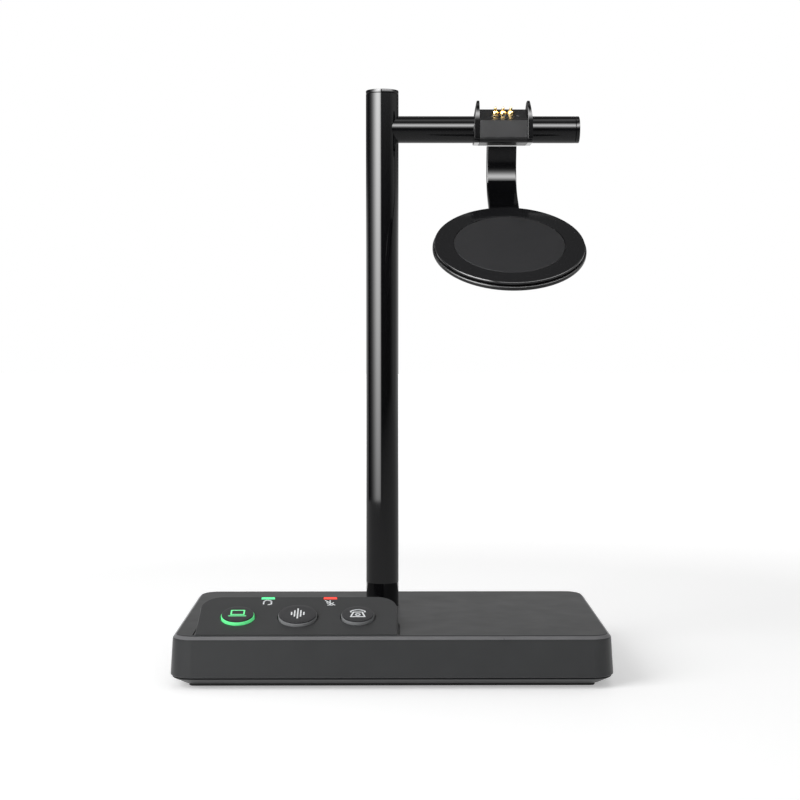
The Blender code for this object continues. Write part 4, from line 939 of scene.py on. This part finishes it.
def show_white_to_camera(tree, shader_output, target, strength):
    """Mixes in plain white for what the camera, reflections and glass see."""
    nodes, links = tree.nodes, tree.links
    path = nodes.new("ShaderNodeLightPath")
    seen = nodes.new("ShaderNodeMath")
    seen.operation = "MAXIMUM"
    links.new(path.outputs["Is Camera Ray"], seen.inputs[0])
    glossy = nodes.new("ShaderNodeMath")
    glossy.operation = "MAXIMUM"
    links.new(path.outputs["Is Glossy Ray"], glossy.inputs[0])
    links.new(path.outputs["Is Transmission Ray"], glossy.inputs[1])
    links.new(glossy.outputs[0], seen.inputs[1])
    white = nodes.new("ShaderNodeBackground")
    white.inputs["Color"].default_value = WHITE
    white.inputs["Strength"].default_value = strength
    mix = nodes.new("ShaderNodeMixShader")
    links.new(seen.outputs[0], mix.inputs[0])
    links.new(shader_output, mix.inputs[1])
    links.new(white.outputs[0], mix.inputs[2])
    links.new(mix.outputs[0], target)


def build_world():
    world = bpy.data.worlds.new("studio")
    bpy.context.scene.world = world
    world.use_nodes = True
    nodes = world.node_tree.nodes
    ambient = nodes["Background"]
    ambient.inputs["Color"].default_value = WHITE
    ambient.inputs["Strength"].default_value = AMBIENT
    show_white_to_camera(world.node_tree, ambient.outputs[0],
                         nodes["World Output"].inputs["Surface"], 1.0)


def build_floor():
    material = bpy.data.materials.new("studio_floor")
    material.use_nodes = True
    shader = material.node_tree.nodes["Principled BSDF"]
    shader.inputs["Base Color"].default_value = FLOOR_COLOUR
    shader.inputs["Roughness"].default_value = 0.6
    shader.inputs["Specular IOR Level"].default_value = 0.2
    shader.inputs["Emission Color"].default_value = WHITE
    nodes, links = material.node_tree.nodes, material.node_tree.links
    place = nodes.new("ShaderNodeTexCoord")
    distance = nodes.new("ShaderNodeVectorMath")
    distance.operation = "LENGTH"
    links.new(place.outputs["Object"], distance.inputs[0])
    glow = nodes.new("ShaderNodeMapRange")
    glow.inputs["From Min"].default_value = FLOOR_GLOW_START
    glow.inputs["From Max"].default_value = FLOOR_GLOW_END
    glow.inputs["To Min"].default_value = FLOOR_GLOW
    glow.inputs["To Max"].default_value = FLOOR_FAR_GLOW
    links.new(distance.outputs["Value"], glow.inputs["Value"])
    links.new(glow.outputs["Result"], shader.inputs["Emission Strength"])
    mesh = plain_box("studio_floor", -FLOOR_HALF, FLOOR_HALF, -FLOOR_HALF, FLOOR_HALF,
                     FLOOR_LOW_Z, FLOOR_TOP_Z)
    mesh.materials.append(material)
    floor = bpy.data.objects.new("studio_floor", mesh)
    bpy.context.scene.collection.objects.link(floor)


def smooth_step(low, high, value):
    share = min(1.0, max(0.0, (value - low) / (high - low)))
    return share * share * (3 - 2 * share)


def bump_at(centre, spread, value):
    return math.exp(-((value - centre) / spread) ** 2)


def card_glow(side, rise):
    """Brightness of the surround, by degrees to the left of the front and above its centre.

    A bright band high at the front is what the arm reflects. The front is brighter to the
    right and overhead and dark elsewhere. The back is white near the horizon and dim above
    it, with a brighter patch that the sloped console reflects.
    """
    behind = smooth_step(95, 140, abs(side))
    front = (1 - behind) * (0.02 + 0.5 * smooth_step(50, 95, -side))
    front_top = (1 - smooth_step(60, 100, abs(side))) * (
        12.0 * bump_at(35, 12, rise) + 0.4 * bump_at(22, 7, rise))
    overhead = 1.0 * smooth_step(62, 80, rise)
    right_card = 1 - 0.85 * smooth_step(0, 9, 180 + side) * (side < 0)
    backdrop = behind * (1.0 - 0.88 * smooth_step(4, 9, rise)
                         + 0.5 * bump_at(42, 7, rise) * right_card)
    return front + front_top * (1 - behind) + overhead * (1 - behind) + backdrop


def softbox_glow(side, height):
    """Brightness of the curved softbox at the front left, stronger towards its top."""
    across = bump_at(30, 32, side) * smooth_step(6, 15, side)
    return across * (2.9 + 55.0 * height)


def add_glow_surface(name, mesh, brightness):
    """A lit surface of the studio that only glossy reflections see."""
    glow = mesh.color_attributes.new("glow", "FLOAT_COLOR", "POINT")
    for vertex, entry in zip(mesh.vertices, glow.data):
        value = brightness(vertex.co)
        entry.color = (value, value, value, 1.0)
    material = bpy.data.materials.new(name)
    material.use_nodes = True
    nodes, links = material.node_tree.nodes, material.node_tree.links
    nodes.remove(nodes["Principled BSDF"])
    tint = nodes.new("ShaderNodeAttribute")
    tint.attribute_name = "glow"
    light = nodes.new("ShaderNodeEmission")
    links.new(tint.outputs["Color"], light.inputs["Color"])
    links.new(light.outputs[0], nodes["Material Output"].inputs["Surface"])
    mesh.materials.append(material)
    surface = bpy.data.objects.new(name, mesh)
    bpy.context.scene.collection.objects.link(surface)
    surface.visible_camera = False
    surface.visible_diffuse = False
    surface.visible_shadow = False
    surface.visible_transmission = False


def side_angle(point):
    """Degrees around Z from the front, positive to the left."""
    return math.degrees(math.atan2(-point.x, -point.y))


def build_dome():
    """The surround: a dome around the object, brighter and darker by direction."""
    rings = []
    for row in SURROUND_ROWS:
        rise = math.radians(row * SURROUND_ROW_ANGLE)
        rings.append(circle(SURROUND_RADIUS * math.cos(rise),
                            SURROUND_CENTRE_Z + SURROUND_RADIUS * math.sin(rise),
                            SURROUND_SIDES))

    def brightness(point):
        rise = math.atan2(point.z - SURROUND_CENTRE_Z, math.hypot(point.x, point.y))
        return card_glow(side_angle(point), math.degrees(rise))

    add_glow_surface("surround", mesh_from_rings("surround", rings), brightness)


def build_softbox():
    """A curved sheet of light at the front left, around the pole."""
    middle = Vector((POLE_X, POLE_Y, 0.0))
    shape = bmesh.new()
    columns = []
    for column in range(SOFTBOX_COLUMNS + 1):
        side = math.radians(SOFTBOX_START + column * SOFTBOX_COLUMN_ANGLE)
        foot = middle - Vector((math.sin(side), math.cos(side), 0.0)) * SOFTBOX_RADIUS
        columns.append([shape.verts.new((foot.x, foot.y, SOFTBOX_TOP * row / SOFTBOX_ROWS))
                        for row in range(SOFTBOX_ROWS + 1)])
    for left, right in zip(columns, columns[1:]):
        for i in range(SOFTBOX_ROWS):
            shape.faces.new((left[i], right[i], right[i + 1], left[i + 1]))
    mesh = bpy.data.meshes.new("softbox")
    shape.to_mesh(mesh)
    shape.free()
    add_glow_surface("softbox", mesh,
                     lambda point: softbox_glow(side_angle(point - middle), point.z))


def add_lamp(name, place, target, size, power):
    data = bpy.data.lights.new(name, "AREA")
    data.shape = "RECTANGLE"
    data.size, data.size_y = size
    data.energy = power
    lamp = bpy.data.objects.new(name, data)
    lamp.location = place
    lamp.rotation_euler = (Vector(target) - Vector(place)).to_track_quat("-Z", "Y").to_euler()
    lamp.visible_glossy = False
    bpy.context.scene.collection.objects.link(lamp)


def build_camera():
    data = bpy.data.cameras.new("camera")
    data.lens = LENS
    data.sensor_width = SENSOR_WIDTH
    camera = bpy.data.objects.new("camera", data)
    camera.location = CAMERA_PLACE
    camera.rotation_euler = (math.radians(90) - CAMERA_PITCH, 0.0, -CAMERA_YAW)
    bpy.context.scene.collection.objects.link(camera)
    bpy.context.scene.camera = camera


build_world()
build_floor()
build_camera()
add_lamp("key", KEY_PLACE, KEY_TARGET, KEY_SIZE, KEY_POWER)
add_lamp("top", TOP_PLACE, TOP_TARGET, TOP_SIZE, TOP_POWER)
build_dome()
build_softbox()
bpy.context.scene.view_settings.view_transform = "Standard"
